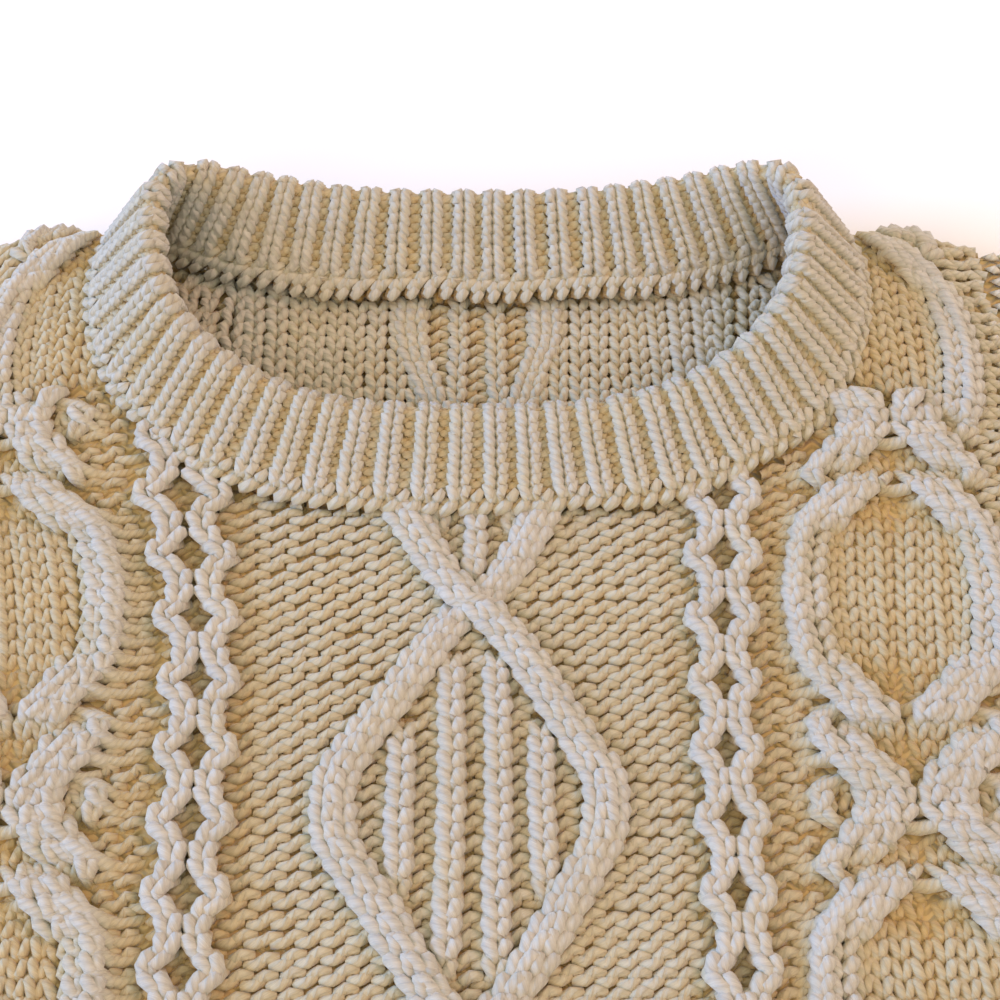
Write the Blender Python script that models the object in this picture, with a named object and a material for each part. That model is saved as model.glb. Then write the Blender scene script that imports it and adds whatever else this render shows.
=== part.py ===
"""Cable knit sweater with a double ribbed crew neck, laid flat on its back.

X runs across the garment, with the wearer's left at +X. +Y runs from the hem to the neck, and Z is up.
The underside of the back lies on z = 0. Plan sizes are measured from the middle of the front neck seam,
and every panel is moved by NECK_Y at the end, so that the origin is under the middle of the whole part.
"""

import math
from collections import namedtuple
from functools import partial

import bmesh
import bpy
from mathutils import Vector, geometry
import numpy as np

MM = 0.001

# ---- cloth ----
WALL = 4.5 * MM  # thickness of the knitted cloth
LAYER_GAP = 0.8 * MM  # air between two layers that lie on each other
SEAM_GAP = 0.35 * MM  # between neighbouring pieces
UPPER = WALL + LAYER_GAP  # height of the upper layer's lower face
ROW = 4.02 * MM  # height of one knitted row
CREAM = (0.83, 0.73, 0.55)

# ---- body ----
NECK_Y = 234.9 * MM  # from the middle of the part's length to the front neck seam
HEM_LINE = -504.0 * MM  # where the panels meet their hem ribs
HEM_DEPTH = 60.0 * MM
HEM_HALF = 243.0 * MM
FOLD_NEAR = (95.0 * MM, 81.0 * MM)  # shoulder fold beside the neck: x, y
FOLD_FAR = (205.0 * MM, 60.0 * MM)  # shoulder fold at the armhole: x, y
FORWARD = 51.0 * MM  # how far the back comes over the shoulder
NECK_LIFT = 5.0 * MM  # the cloth stands up a little round the sides of the neck
NECK_LIFT_AT = (100.0 * MM, 45.0 * MM)
NECK_LIFT_SPREAD = (35.0 * MM, 40.0 * MM)

# Side of the body from the hem to the armhole, in mm: x, y
SIDE_EDGE = ((244, -504), (255, -474), (259, -390), (259, -300), (259, -220), (258.5, -160))
# Armhole seam from the underarm to the shoulder fold, in mm: x, y
ARMHOLE = ((258, -150), (238, -138), (220, -115), (209, -80), (205.5, -40), (205, 9), (205, 60))

# Soft creases in the upper layer, in mm and degrees: x, y, heading, half length, half width, height
CREASES = (
    (196, -190, 205, 70, 16, 4.0),
    (-205, -176, -18, 62, 14, 3.5),
    (150, -330, 168, 80, 20, 3.0),
    (-168, -388, 24, 66, 18, 3.4),
    (60, -452, 100, 60, 17, 2.6),
    (-226, -90, 64, 40, 12, 2.4),
)

SHOULDER_PLACES = (130 * MM, 168 * MM, 205 * MM)  # x of the shoulder seam's corners
NECK_STEP = 3.0 * MM  # closest corner of the neck edge to the shoulder seam
STRAP_CORNER = 35.0 * MM  # y of a corner half-way down the strap's armhole edge
SIDE_DROP = 1.6 * MM  # the upper face rounds off at the body's sides

# ---- neckband ----
BAND_RIBS = 56
BAND_VALLEY = 3.0 * MM  # half thickness of the double band between two ribs
RIB_RAISE = 1.3 * MM
# Half of the band from the front middle to the back middle, in mm: seam x, y, z, then top edge x, y, z
BAND_STATIONS = (
    (0, 0, 9.4, 0, 24.8, 14.5),
    (20, 0.4, 9.4, 18, 25.0, 14.7),
    (38, 1.8, 9.5, 33, 26.4, 15.2),
    (54, 5.5, 9.8, 46, 29.6, 16.4),
    (69, 12.5, 10.3, 58, 34.8, 18.5),
    (81, 22, 11.0, 67, 41.5, 21.5),
    (90, 33, 11.8, 73.5, 48.5, 25),
    (95.5, 46, 12.3, 77.5, 56, 28),
    (98, 59, 12.4, 79.5, 64, 30),
    (98, 71, 11.6, 80.5, 73, 31),
    (95.5, 79, 9.8, 80.5, 82, 31),
    (89, 81.8, 7.6, 76.5, 89, 29.5),
    (80, 79, 6.2, 68, 92, 26),
    (68, 73.5, 5.7, 58, 92.4, 22.5),
    (52, 69.3, 5.5, 46, 92, 19.5),
    (34, 67.2, 5.5, 31, 91.5, 17.5),
    (16, 66.5, 5.5, 15, 91.2, 16.7),
    (0, 66.4, 5.5, 0, 91.2, 16.5),
)
# Band's section: share of its height from the seam, and share of its half thickness, outer face positive
BAND_SECTION = (
    (0.0, 1.0),
    (0.36, 1.0),
    (0.72, 1.0),
    (0.93, 0.86),
    (1.0, 0.0),
    (0.93, -0.86),
    (0.62, -1.0),
    (0.3, -1.0),
    (0.0, -1.0),
)
# One rib of the band: share of its pitch, and how far it is raised
BAND_RIB = ((0.0, 0.0), (0.3, 1.0), (0.7, 1.0))
FOLD_STATION = 10  # the station at which the band passes over the shoulder fold
BAND_CLEAR = 0.5 * MM  # between the band's foot and the panels' neck edges

# ---- ribs of hems and cuffs ----
HEM_RIBS = 55
HEM_RIB = ((0.15, 0.0), (0.6, 1.0))  # share of the pitch, and how far it is raised
HEM_DROP = 0.8 * MM  # the rib rounds off at the body's sides
HEM_EDGE = 0.6 * MM  # and at its lower edge
HEM_PLAIN = 8  # stretches of the plain lower half
CUFF_RIBS = 11
CUFF_RIB = ((0.25, 1.0), (0.5, 1.0), (0.85, 0.0))

# ---- sleeves ----
# Right-hand edge and underarm edge of a sleeve from the armhole to the cuff, in mm: outer x, y, inner x, y
SLEEVE_ROWS = (
    (205.4, 64.9, 258.4, -150.4),
    (240, 58, 274, -159),
    (276, 47, 286, -180),
    (311, 30, 297, -204),
    (343, 5, 313, -227),
    (371, -29, 331, -253),
    (405, -97, 355, -288),
    (439, -165, 380, -324),
    (473, -232, 404, -359),
    (507, -300, 429, -394),
    (541, -367, 453, -429),
)
SLEEVE_STEPS = 16
CAP_ROWS = 4.0  # rows over which the armhole's curve fades out of the sleeve
SLEEVE_PUFF = 3.0 * MM
# Creases across a sleeve: row, share of the width from the outer edge, slant in rows,
# half length in rows, half width as a share, height in mm
SLEEVE_CREASES = (
    (2.6, 0.78, -1.5, 0.6, 0.22, 4.5),
    (4.4, 0.72, -1.0, 0.55, 0.24, 3.5),
    (6.6, 0.42, 0.8, 0.5, 0.3, 3.0),
    (8.7, 0.55, -0.6, 0.6, 0.28, 3.2),
)
CUFF_LENGTH = 60.0 * MM
CUFF_WIDTH = 94.0 * MM
CUFF_SIDE = 0.1  # share of the width that is left plain beside the ribs
# A cuff from the sleeve to its end: share of the length, and extra width in mm
CUFF_ROWS = ((0.0, 4.0), (0.5, 0.0), (1.0, -2.0))

# ---- flattened tubes ----
# Section at an edge: distance in, height, whether the puff lifts it.
# Rows: middle, upper turn, upper flat, lower turn, lower flat.
TUBE_TOP = UPPER + WALL
OUTER_EDGE = (
    (0.0, TUBE_TOP / 2, 0),
    (1.2 * MM, TUBE_TOP - 1.6 * MM, 0),
    (4.5 * MM, TUBE_TOP, 1),
    (1.2 * MM, 1.6 * MM, 0),
    (4.5 * MM, 0.0, 0),
)
INNER_EDGE = (
    (WALL, TUBE_TOP / 2, 0),
    (WALL + 0.3 * MM, UPPER - 0.1 * MM, 0),
    (WALL + 2 * MM, UPPER, 1),
    (WALL + 0.3 * MM, WALL + 0.1 * MM, 0),
    (WALL + 2 * MM, WALL, 0),
)

# ---- cables, measured from the middle of the panel and from the front neck seam ----
REPEAT = 24 * ROW  # rows in one repeat of the diamonds and of the side cables
BAND_HALF = 5.6 * MM  # half width of a strand two stitches wide
BAND_TOP = 2.3 * MM  # half width of its top
CABLE_RAISE = 3.2 * MM
RELIEF_EDGE = 4.0 * MM  # the cables sink into the seams over this distance
DIAMOND_CROSS = -27.5 * MM
DIAMOND_HALF = 28.6 * MM
INNER_RIBS = (-15.7, -5.2, 5.2, 15.7)  # mm from the middle of a diamond
INNER_VALLEYS = (-10.5, 0.0, 10.5)
INNER_RIB_HALF = 4.2 * MM
INNER_RIB_RAISE = 2.8 * MM
WAVE_MIDDLE = 59.5 * MM
WAVE_REPEAT = 4 * ROW
WAVE_MEAN = 4.4 * MM
WAVE_SWING = 2.6 * MM
WAVE_HALF = 3.6 * MM
SIDE_MIDDLE = 101.0 * MM
SIDE_TOP = -8.0 * MM
# Strands of half a side cable in one repeat, in mm: start offset and drop, end offset and drop
SIDE_STRANDS = (
    (24, 0, 24, 42),
    (24, 42, 3, 66),
    (24, 54, 3, 79),
    (3, 64, 24, 84),
    (3, 78, 24, 96.5),
)

# ---- spacing of the corners ----
FRONT_HEM = (180, 120, 60, 0)  # x of the panels' corners along the hem, in mm
BACK_HEM = (160, 80, 0)
NECK_TURN = (0.3, 0.65, 1.0)  # corners round the fold beside the neck and at the armhole, as shares
ARMHOLE_TURN = (1.0, 0.75, 0.5, 0.25, 0.0)
BEND_PLACES = [x * MM for x in (106, 118, 133, 150, 170, 190)]  # lines of corners round the shoulder fold
BEND_STEPS = 4
STRAP_PLAIN = [150 * MM, 168 * MM, 186 * MM]
STRAP_RISES = [(5 + 9 * i) * MM for i in range(5)]
BAND_STEP = 8 * MM
RIB_STEP = 9 * MM
SIDE_STEP = 11 * MM
LEAST_LINE = 2.6 * MM  # closest corners on the cables' lines
CABLE_REACH = 7 * MM  # no grid corner comes this close to a cable
FRONT_GRID = 20 * MM
INSIDE_GRID = 30 * MM
BACK_GRID = 70 * MM
FRONT_SPAN = ((-256 * MM, HEM_LINE + 8 * MM), (256 * MM, 20 * MM))  # where the grids of corners lie
INSIDE_SPAN = ((-250 * MM, HEM_LINE + 12 * MM), (250 * MM, 10 * MM))
BACK_SPAN = ((-230 * MM, HEM_LINE + 40 * MM), (230 * MM, 40 * MM))
RIM_OUTER = 2.5 * MM  # no corner comes this close to an outline
RIM_INNER = 8.0 * MM

Strand = namedtuple("Strand", "path half top height feet")


def clear_scene():
    for thing in list(bpy.data.objects):
        bpy.data.objects.remove(thing, do_unlink=True)


def wool(name, colour, roughness):
    material = bpy.data.materials.new(name)
    material.use_nodes = True
    shader = material.node_tree.nodes["Principled BSDF"]
    shader.inputs["Base Color"].default_value = (*colour, 1.0)
    shader.inputs["Roughness"].default_value = roughness
    shader.inputs["Metallic"].default_value = 0.0
    return material


def knit_object(name, points, faces):
    """One closed piece with its own wool, shaded smooth."""
    mesh = bpy.data.meshes.new(name)
    shifted = [(x, y + NECK_Y, z) for x, y, z in points]
    mesh.from_pydata(shifted, [], faces)
    work = bmesh.new()
    work.from_mesh(mesh)
    bmesh.ops.recalc_face_normals(work, faces=work.faces)
    work.to_mesh(mesh)
    work.free()
    mesh.shade_smooth()
    mesh.set_sharp_from_angle(angle=math.radians(50))
    mesh.materials.append(wool(f"{name}_wool", CREAM, 0.9))
    thing = bpy.data.objects.new(name, mesh)
    bpy.context.scene.collection.objects.link(thing)
    return thing


def swept(name, sections, closed):
    """A solid through closed sections of the same number of points, joined end to end or capped."""
    count = len(sections[0])
    points = [point for section in sections for point in section]
    faces = []
    for i in range(len(sections) if closed else len(sections) - 1):
        here = i * count
        there = (i + 1) % len(sections) * count
        for j in range(count):
            k = (j + 1) % count
            faces.append((here + j, here + k, there + k, there + j))
    if not closed:
        faces.append(tuple(range(count)))
        last = (len(sections) - 1) * count
        faces.append(tuple(range(last, last + count)))
    return knit_object(name, points, faces)


# ---- plan geometry ----


def fold_y(x):
    """The shoulder fold's y at this x."""
    (near_x, near_y), (far_x, far_y) = FOLD_NEAR, FOLD_FAR
    share = (abs(x) - near_x) / (far_x - near_x)
    return near_y + (far_y - near_y) * share


def bump(x, y, middle, spread):
    return math.exp(-(((x - middle[0]) / spread[0]) ** 2) - ((y - middle[1]) / spread[1]) ** 2)


def lift(x, y):
    """How far the upper layer stands above the layer below it."""
    high = NECK_LIFT * bump(abs(x), y, NECK_LIFT_AT, NECK_LIFT_SPREAD)
    for middle_x, middle_y, heading, length, width, height in CREASES:
        along = Vector((math.cos(math.radians(heading)), math.sin(math.radians(heading))))
        away = Vector((x - middle_x * MM, y - middle_y * MM))
        run = away.dot(along) / (length * MM)
        side = away.cross(along) / (width * MM)
        high += height * MM * math.exp(-run * run - side * side)
    return high


def smooth_through(rows, shares, closed):
    """Points of a Catmull-Rom curve through the rows, at shares given as row numbers."""
    table = np.array(rows, float)
    count = len(table)
    found = []
    for share in shares:
        i = int(math.floor(share))
        t = share - i
        near = [(i + k) % count if closed else min(max(i + k, 0), count - 1) for k in (-1, 0, 1, 2)]
        a, b, c, d = table[near]
        bend = 2 * b + (c - a) * t + (2 * a - 5 * b + 4 * c - d) * t * t
        found.append((bend + (3 * b - a - 3 * c + d) * t**3) / 2)
    return np.array(found)


def even_shares(rows, fractions, closed):
    """Row numbers at which a curve through the rows has run these fractions of its length."""
    last = len(rows) if closed else len(rows) - 1
    fine = np.linspace(0, last, 40 * last + 1)
    points = smooth_through(rows, fine, closed)
    run = np.concatenate([[0], np.cumsum(np.linalg.norm(np.diff(points, axis=0), axis=1))])
    return np.interp(np.array(fractions) * run[-1], run, fine)


def band_rows():
    """The whole neckband's stations, from the front middle round by +X, in metres."""
    right = np.array(BAND_STATIONS, float) * MM
    left = right[-2:0:-1] * np.array((-1, 1, 1, -1, 1, 1))
    return np.concatenate([right, left])


def inside_by(outline, points):
    """How far each point lies inside the outline, negative outside it."""
    start = np.array(outline, float)
    end = np.roll(start, -1, axis=0)
    edge = end - start
    points = np.array(points, float)
    away = points[:, None] - start[None]
    share = np.clip((away * edge).sum(2) / (edge * edge).sum(1), 0, 1)
    distance = np.linalg.norm(away - share[..., None] * edge, axis=2).min(1)
    rising = (start[:, 1] <= points[:, None, 1]) != (end[:, 1] <= points[:, None, 1])
    slope = edge[:, 0] / np.where(edge[:, 1] == 0, 1, edge[:, 1])
    crossing = start[:, 0] + (points[:, None, 1] - start[:, 1]) * slope
    odd = (rising & (points[:, None, 0] < crossing)).sum(1) % 2 == 1
    return np.where(odd, distance, -distance)


def snapped(lines, least):
    """The lines with each point moved onto an earlier one that lies closer than least."""
    taken = {}
    found = []
    for line in lines:
        moved = []
        for x, y in line:
            cell = (int(x // least), int(y // least))
            cells = [(cell[0] + i, cell[1] + j) for i in (-1, 0, 1) for j in (-1, 0, 1)]
            around = [p for near_cell in cells for p in taken.get(near_cell, ())]
            near = min(around, key=lambda p: math.dist(p, (x, y)), default=None)
            if near is None or math.dist(near, (x, y)) >= least:
                near = (x, y)
                taken.setdefault(cell, []).append(near)
            if near not in moved:
                moved.append(near)
        found.append(moved)
    return found


def filled(outline, spots, lines, margin):
    """Corners and triangles that fill the outline, with a corner at each spot and edges along the lines."""
    wanted = list(dict.fromkeys([point for line in lines for point in line] + spots))
    good = [spot for spot, depth in zip(wanted, inside_by(outline, wanted)) if depth > margin]
    corners = [Vector(p) for p in list(outline) + good]
    place = {spot: len(outline) + i for i, spot in enumerate(good)}
    edges = {
        tuple(sorted((place[a], place[b])))
        for line in lines
        for a, b in zip(line, line[1:])
        if a in place and b in place
    }
    loop = list(range(len(outline)))
    made = geometry.delaunay_2d_cdt(corners, sorted(edges), [loop], 1, 0.02 * MM)
    points, faces, origins = made[0], made[2], made[3]
    rim = {source: i for i, sources in enumerate(origins) for source in sources if source < len(outline)}
    return [tuple(p) for p in points], faces, [rim[i] for i in loop]


def panel(name, outline, spots, lines, plain_spots, outer_place, inner_place):
    """A wall of cloth over a plan outline: outer and inner faces are placed by their own functions."""
    upper, upper_faces, upper_rim = filled(outline, spots, lines, RIM_OUTER)
    lower, lower_faces, lower_rim = filled(outline, plain_spots, (), RIM_INNER)
    shift = len(upper)
    points = [outer_place(*p) for p in upper] + [inner_place(*p) for p in lower]
    faces = [tuple(face) for face in upper_faces]
    faces += [tuple(shift + i for i in reversed(face)) for face in lower_faces]
    for i in range(len(outline)):
        k = (i + 1) % len(outline)
        faces.append((upper_rim[i], shift + lower_rim[i], shift + lower_rim[k], upper_rim[k]))
    return knit_object(name, points, faces)


# ---- cables ----


def split_line(start, end, step):
    length = math.dist(start, end)
    count = max(1, round(length / step))
    return [
        (start[0] + (end[0] - start[0]) * i / count, start[1] + (end[1] - start[1]) * i / count)
        for i in range(count + 1)
    ]


def repeats():
    """Numbers of the repeats that reach the panel, the first one partly above the neck."""
    return range(-1, int(abs(HEM_LINE) / REPEAT) + 1)


def diamond_strands():
    """Two strands that part and cross again in every repeat, from the neck to the hem."""
    found = []
    for side in (-1, 1):
        path = []
        for turn in repeats():
            cross = DIAMOND_CROSS - turn * REPEAT
            wide = (side * DIAMOND_HALF, cross - REPEAT / 2)
            path += split_line((0.0, cross), wide, BAND_STEP)[:-1]
            path += split_line(wide, (0.0, cross - REPEAT), BAND_STEP)[:-1]
        found.append(Strand(path, BAND_HALF, BAND_TOP, CABLE_RAISE, (-1, 1)))
    return found


def inner_rib(turn, x):
    """Upright line inside a diamond, as long as the diamond is tall there."""
    middle = DIAMOND_CROSS - (turn + 0.5) * REPEAT
    clear = abs(x) + BAND_HALF + INNER_RIB_HALF
    reach = REPEAT / 2 * max(0.0, 1 - clear / DIAMOND_HALF) + INNER_RIB_HALF
    return split_line((x, middle + reach), (x, middle - reach), RIB_STEP)


def inner_rib_strands():
    return [
        Strand(inner_rib(turn, x * MM), INNER_RIB_HALF, 0.0, INNER_RIB_RAISE, ())
        for turn in repeats()
        for x in INNER_RIBS
    ]


def inner_valleys():
    return [inner_rib(turn, x * MM) for turn in repeats() for x in INNER_VALLEYS]


def wave_stations():
    """Heights at which a wave cable is widest and narrowest in turn."""
    return [WAVE_REPEAT * (1 - i / 2) for i in range(int(2 * abs(HEM_LINE) / WAVE_REPEAT) + 4)]


def wave_strands(side):
    """Two strands that swing apart and together, which leaves a row of round holes."""
    found = []
    for strand_side in (-1, 1):
        path = []
        for i, y in enumerate(wave_stations()):
            swing = WAVE_MEAN + (WAVE_SWING if i % 2 == 0 else -WAVE_SWING)
            path.append((side * WAVE_MIDDLE + strand_side * swing, y))
        found.append(Strand(path, WAVE_HALF, 0.0, CABLE_RAISE, (strand_side,)))
    return found


def side_strands(side):
    """The wide cable beside the wave: straight edges that cross inwards and out again."""
    found = []
    for turn in repeats():
        top = SIDE_TOP - turn * REPEAT
        for start, start_drop, end, end_drop in SIDE_STRANDS:
            for half in (-1, 1):
                a = (side * SIDE_MIDDLE + half * start * MM, top - start_drop * MM)
                b = (side * SIDE_MIDDLE + half * end * MM, top - end_drop * MM)
                found.append(Strand(split_line(a, b, SIDE_STEP), BAND_HALF, BAND_TOP, CABLE_RAISE, (-1, 1)))
    return found


def strand_lines(strand):
    """Lines of corners along a strand's top and its feet; side 1 is at +X."""
    path = np.array(strand.path)
    way = np.gradient(path, axis=0)
    across = np.stack([-way[:, 1], way[:, 0]], 1) / np.linalg.norm(way, axis=1)[:, None]
    offsets = (-strand.top, strand.top) if strand.top else (0.0,)
    offsets += tuple(side * strand.half for side in strand.feet)
    return [[tuple(p) for p in (path + across * offset).tolist()] for offset in offsets]


class Relief:
    """Height of the cables over the plain cloth, from the strands' middles."""

    def __init__(self, strands):
        pieces = [(s, a, b) for s in strands for a, b in zip(s.path, s.path[1:])]
        self.start = np.array([a for _, a, _ in pieces])
        self.edge = np.array([b for _, _, b in pieces]) - self.start
        self.length = (self.edge**2).sum(1)
        self.half = np.array([s.half for s, _, _ in pieces])
        self.top = np.array([s.top for s, _, _ in pieces])
        self.height = np.array([s.height for s, _, _ in pieces])

    def at(self, x, y):
        away = np.array((x, y)) - self.start
        share = np.clip((away * self.edge).sum(1) / self.length, 0, 1)
        distance = np.linalg.norm(away - share[:, None] * self.edge, axis=1)
        fall = np.clip((distance - self.top) / (self.half - self.top), 0, 1)
        return float((self.height * (1 + np.cos(math.pi * fall)) / 2).max())


def ground_spots(low, high, step):
    """An even grid of corners for the plain stretches and the creases."""
    across = range(int((high[0] - low[0]) / step) + 1)
    up = range(int((high[1] - low[1]) / step) + 1)
    return [(low[0] + (i + 0.5 * (j % 2)) * step, low[1] + j * step) for j in up for i in across]


# ---- outlines ----


def neck_edge():
    """The band's seam as points with the outward way and lean: index from the front middle round by +X."""
    rows = band_rows()
    shares = np.arange(0, len(rows), 0.5)
    table = smooth_through(rows, shares, True)
    seam, top = table[:, :3], table[:, 3:]
    run = np.roll(seam, -1, axis=0) - np.roll(seam, 1, axis=0)
    outward = np.stack([run[:, 1], -run[:, 0]], 1)
    outward /= np.linalg.norm(outward, axis=1)[:, None]
    rise = (top - seam)[:, 2] / np.linalg.norm(top - seam, axis=1)
    return shares, seam, outward, rise


def upper_neck_edge():
    """Right half of the upper layer's neck edge, from the front middle to the shoulder fold."""
    shares, seam, outward, rise = neck_edge()
    thick = BAND_VALLEY + RIB_RAISE
    found = []
    for share, point, way, lean in zip(shares, seam, outward, rise):
        if share <= FOLD_STATION - 0.5:
            above = UPPER + WALL + lift(point[0], point[1]) - point[2]
            level = max(0.0, min(1.0, above / (thick * math.sqrt(1 - lean * lean))))
            clear = BAND_CLEAR + thick * lean * level
            found.append((point[0] + way[0] * clear, point[1] + way[1] * clear))
    return found


def lower_neck_edge():
    """Right half of the lower layer's neck edge, from beside the shoulder fold to the back middle."""
    shares, seam, outward, _ = neck_edge()
    found = []
    for share, point, way in zip(shares, seam, outward):
        if FOLD_STATION + 1.5 <= share <= len(BAND_STATIONS) - 1:
            found.append((point[0] - way[0] * BAND_CLEAR, point[1] - way[1] * BAND_CLEAR))
    return found


def seam_y(x):
    """The shoulder seam's y on the upper layer."""
    return fold_y(x) - FORWARD


def neck_end():
    """The x at which the shoulder seam meets the band."""
    edge = upper_neck_edge()
    above = [y - seam_y(x) for x, y in edge]
    return float(np.interp(0.0, above, [x for x, _ in edge]))


def mirrored(half):
    """A whole outline from its right half, whose ends may lie on the middle line."""
    left = [(-x, y) for x, y in reversed(half) if abs(x) > 1e-9]
    return list(half) + left


def front_outline():
    """From the neck middle to the shoulder seam, armhole, side and hem, and back up the other side."""
    neck = [p for p in upper_neck_edge() if p[1] < seam_y(p[0]) - NECK_STEP]
    shoulder = [(x, seam_y(x) - SEAM_GAP) for x in (neck_end(), *SHOULDER_PLACES)]
    armhole = [(x * MM, y * MM) for x, y in reversed(ARMHOLE[:5])]
    side = [(x * MM, y * MM) for x, y in reversed(SIDE_EDGE)]
    hem = [(x * MM, HEM_LINE) for x in FRONT_HEM]
    return mirrored(neck + shoulder + armhole + side + hem)


def bend_radius(x):
    return (WALL + LAYER_GAP + lift(x, fold_y(x))) / 2


def over_fold(x, y):
    """Distance along the back's cloth of a point on the layer that has come over the shoulder."""
    return 2 * fold_y(x) + math.pi * bend_radius(x) - y


def back_outline():
    """The back as a flat piece: y runs on over the fold, so the shoulder straps stand up beside the neck."""
    upper = [p for p in upper_neck_edge() if p[1] > seam_y(p[0]) + NECK_STEP]
    corner = upper[-1][0]
    half = list(reversed(lower_neck_edge()))
    half.append((corner - NECK_STEP, fold_y(corner) - BAND_CLEAR))
    half += [(corner, fold_y(corner) + math.pi * bend_radius(corner) * share) for share in NECK_TURN]
    half += [(p[0], over_fold(*p)) for p in reversed(upper)]
    half += [(x, over_fold(x, seam_y(x))) for x in (neck_end(), *SHOULDER_PLACES)]
    far = ARMHOLE[-1][0] * MM
    bend = math.pi * bend_radius(far)
    half.append((far, over_fold(far, STRAP_CORNER)))
    half += [(far, fold_y(far) + bend * share) for share in ARMHOLE_TURN]
    half += [(x * MM, y * MM) for x, y in reversed(ARMHOLE[:6])]
    half += [(x * MM, y * MM) for x, y in reversed(SIDE_EDGE)]
    half += [(x * MM, HEM_LINE) for x in BACK_HEM]
    return mirrored(half)


# ---- pieces ----


def side_rounding(x, y):
    """How far the upper face drops at the body's side, where the two layers turn into each other."""
    beside = abs(x) > (SIDE_EDGE[0][0] - 1) * MM
    return SIDE_DROP if beside and y < ARMHOLE[0][1] * MM else 0.0


def front_strands():
    strands = diamond_strands() + inner_rib_strands()
    for side in (-1, 1):
        strands += wave_strands(side) + side_strands(side)
    return strands


def front():
    outline = front_outline()
    strands = front_strands()
    relief = Relief(strands)
    lines = [line for strand in strands for line in strand_lines(strand)] + inner_valleys()
    lines += [[(side * WAVE_MIDDLE, y)] for side in (-1, 1) for y in wave_stations()[::2]]
    lines = snapped(lines, LEAST_LINE)
    cables = [point for line in lines for point in line]
    grid = ground_spots(*FRONT_SPAN, FRONT_GRID)
    near = np.linalg.norm(np.array(grid)[:, None] - np.array(cables)[None], axis=2).min(1)
    ground = [spot for spot, gap in zip(grid, near) if gap > CABLE_REACH]
    coarse = ground_spots(*INSIDE_SPAN, INSIDE_GRID)

    def outer(x, y):
        rim = min(1.0, max(0.0, float(inside_by(outline, [(x, y)])[0]) / RELIEF_EDGE))
        return x, y, UPPER + WALL + lift(x, y) + relief.at(x, y) * rim - side_rounding(x, y)

    def inner(x, y):
        return x, y, UPPER + lift(x, y)

    return panel("front", outline, ground, lines, coarse, outer, inner)


def back_place(x, run, share):
    """Point of the back's cloth: run up the cloth, and share of the wall from its outer face."""
    fold = fold_y(x)
    radius = bend_radius(x)
    if run <= fold:
        return x, run, WALL * share
    turn = (run - fold) / radius
    if turn <= math.pi:
        reach = radius + WALL * (0.5 - share)
        return x, fold + reach * math.sin(turn), WALL / 2 + radius - reach * math.cos(turn)
    y = fold - (run - fold - math.pi * radius)
    return x, y, UPPER + lift(x, y) + WALL * (1 - share)


def strap_lines():
    """Lines of corners down the shoulder straps: the side cable's edge and plain cloth beside it."""
    edge = SIDE_MIDDLE + SIDE_STRANDS[0][0] * MM
    found = []
    for side in (-1, 1):
        for x in [edge + offset for offset in (-BAND_HALF, -BAND_TOP, BAND_TOP, BAND_HALF)] + STRAP_PLAIN:
            found.append([(side * x, over_fold(x, seam_y(x) + rise)) for rise in STRAP_RISES])
    return found


def bend_lines():
    """Lines of corners round the shoulder fold."""
    turns = [math.pi * i / BEND_STEPS for i in range(BEND_STEPS + 1)]
    return [
        [(side * x, fold_y(x) + turn * bend_radius(x)) for turn in turns]
        for side in (-1, 1)
        for x in BEND_PLACES
    ]


def back():
    """The lower layer, with straps that come over the shoulders to a seam on the upper side."""
    edge = SIDE_MIDDLE + SIDE_STRANDS[0][0] * MM
    runs = [over_fold(edge, seam_y(edge) + rise) for rise in STRAP_RISES]
    paths = [[(side * edge, run) for run in runs] for side in (-1, 1)]
    relief = Relief([Strand(path, BAND_HALF, BAND_TOP, CABLE_RAISE, ()) for path in paths])

    def outer(x, run):
        px, py, pz = back_place(x, run, 0.0)
        upper = run > fold_y(x) + math.pi * bend_radius(x)
        return px, py, pz + (relief.at(x, run) if upper else 0.0)

    def inner(x, run):
        return back_place(x, run, 1.0)

    bends = bend_lines()
    ground = ground_spots(*BACK_SPAN, BACK_GRID)
    lines = snapped(bends + strap_lines(), LEAST_LINE)
    inner_spots = ground + [point for line in bends for point in line]
    for x in BEND_PLACES[::2]:
        inner_spots += [(side * x, over_fold(x, seam_y(x) + FORWARD / 2)) for side in (-1, 1)]
    return panel("back", back_outline(), ground, lines, inner_spots, outer, inner)


def neckband():
    """Double knit-one purl-one rib: the ribs stand out on both faces and roll over the top edge."""
    rows = band_rows()
    fractions = [(rib + phase) / BAND_RIBS for rib in range(BAND_RIBS) for phase, _ in BAND_RIB]
    raised = [high for _ in range(BAND_RIBS) for _, high in BAND_RIB]
    table = smooth_through(rows, even_shares(rows[:, :3], fractions, True), True)
    seam, top = table[:, :3], table[:, 3:]
    run = np.roll(seam, -1, axis=0) - np.roll(seam, 1, axis=0)
    run += np.roll(top, -1, axis=0) - np.roll(top, 1, axis=0)
    normal = np.cross(run, top - seam)
    normal /= np.linalg.norm(normal, axis=1)[:, None]
    sections = []
    for foot, edge, out, high in zip(seam, top, normal, raised):
        half = BAND_VALLEY + RIB_RAISE * high
        sections.append([tuple(foot + (edge - foot) * up + out * half * side) for up, side in BAND_SECTION])
    return swept("neckband", sections, True)


def armhole_line():
    """The armhole from the shoulder to the underarm, and each corner's share of its length."""
    line = np.array(ARMHOLE[::-1], float) * MM
    line[0] = np.array(SLEEVE_ROWS[0][:2]) * MM
    run = np.concatenate([[0], np.cumsum(np.linalg.norm(np.diff(line, axis=0), axis=1))])
    return line, run / run[-1]


def armhole_point(share):
    """A point of the armhole, a seam's gap outside it."""
    line, run = armhole_line()
    x, y = (float(np.interp(share, run, line[:, k])) for k in (0, 1))
    return np.array((x + SEAM_GAP, y + SEAM_GAP * share))


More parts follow.
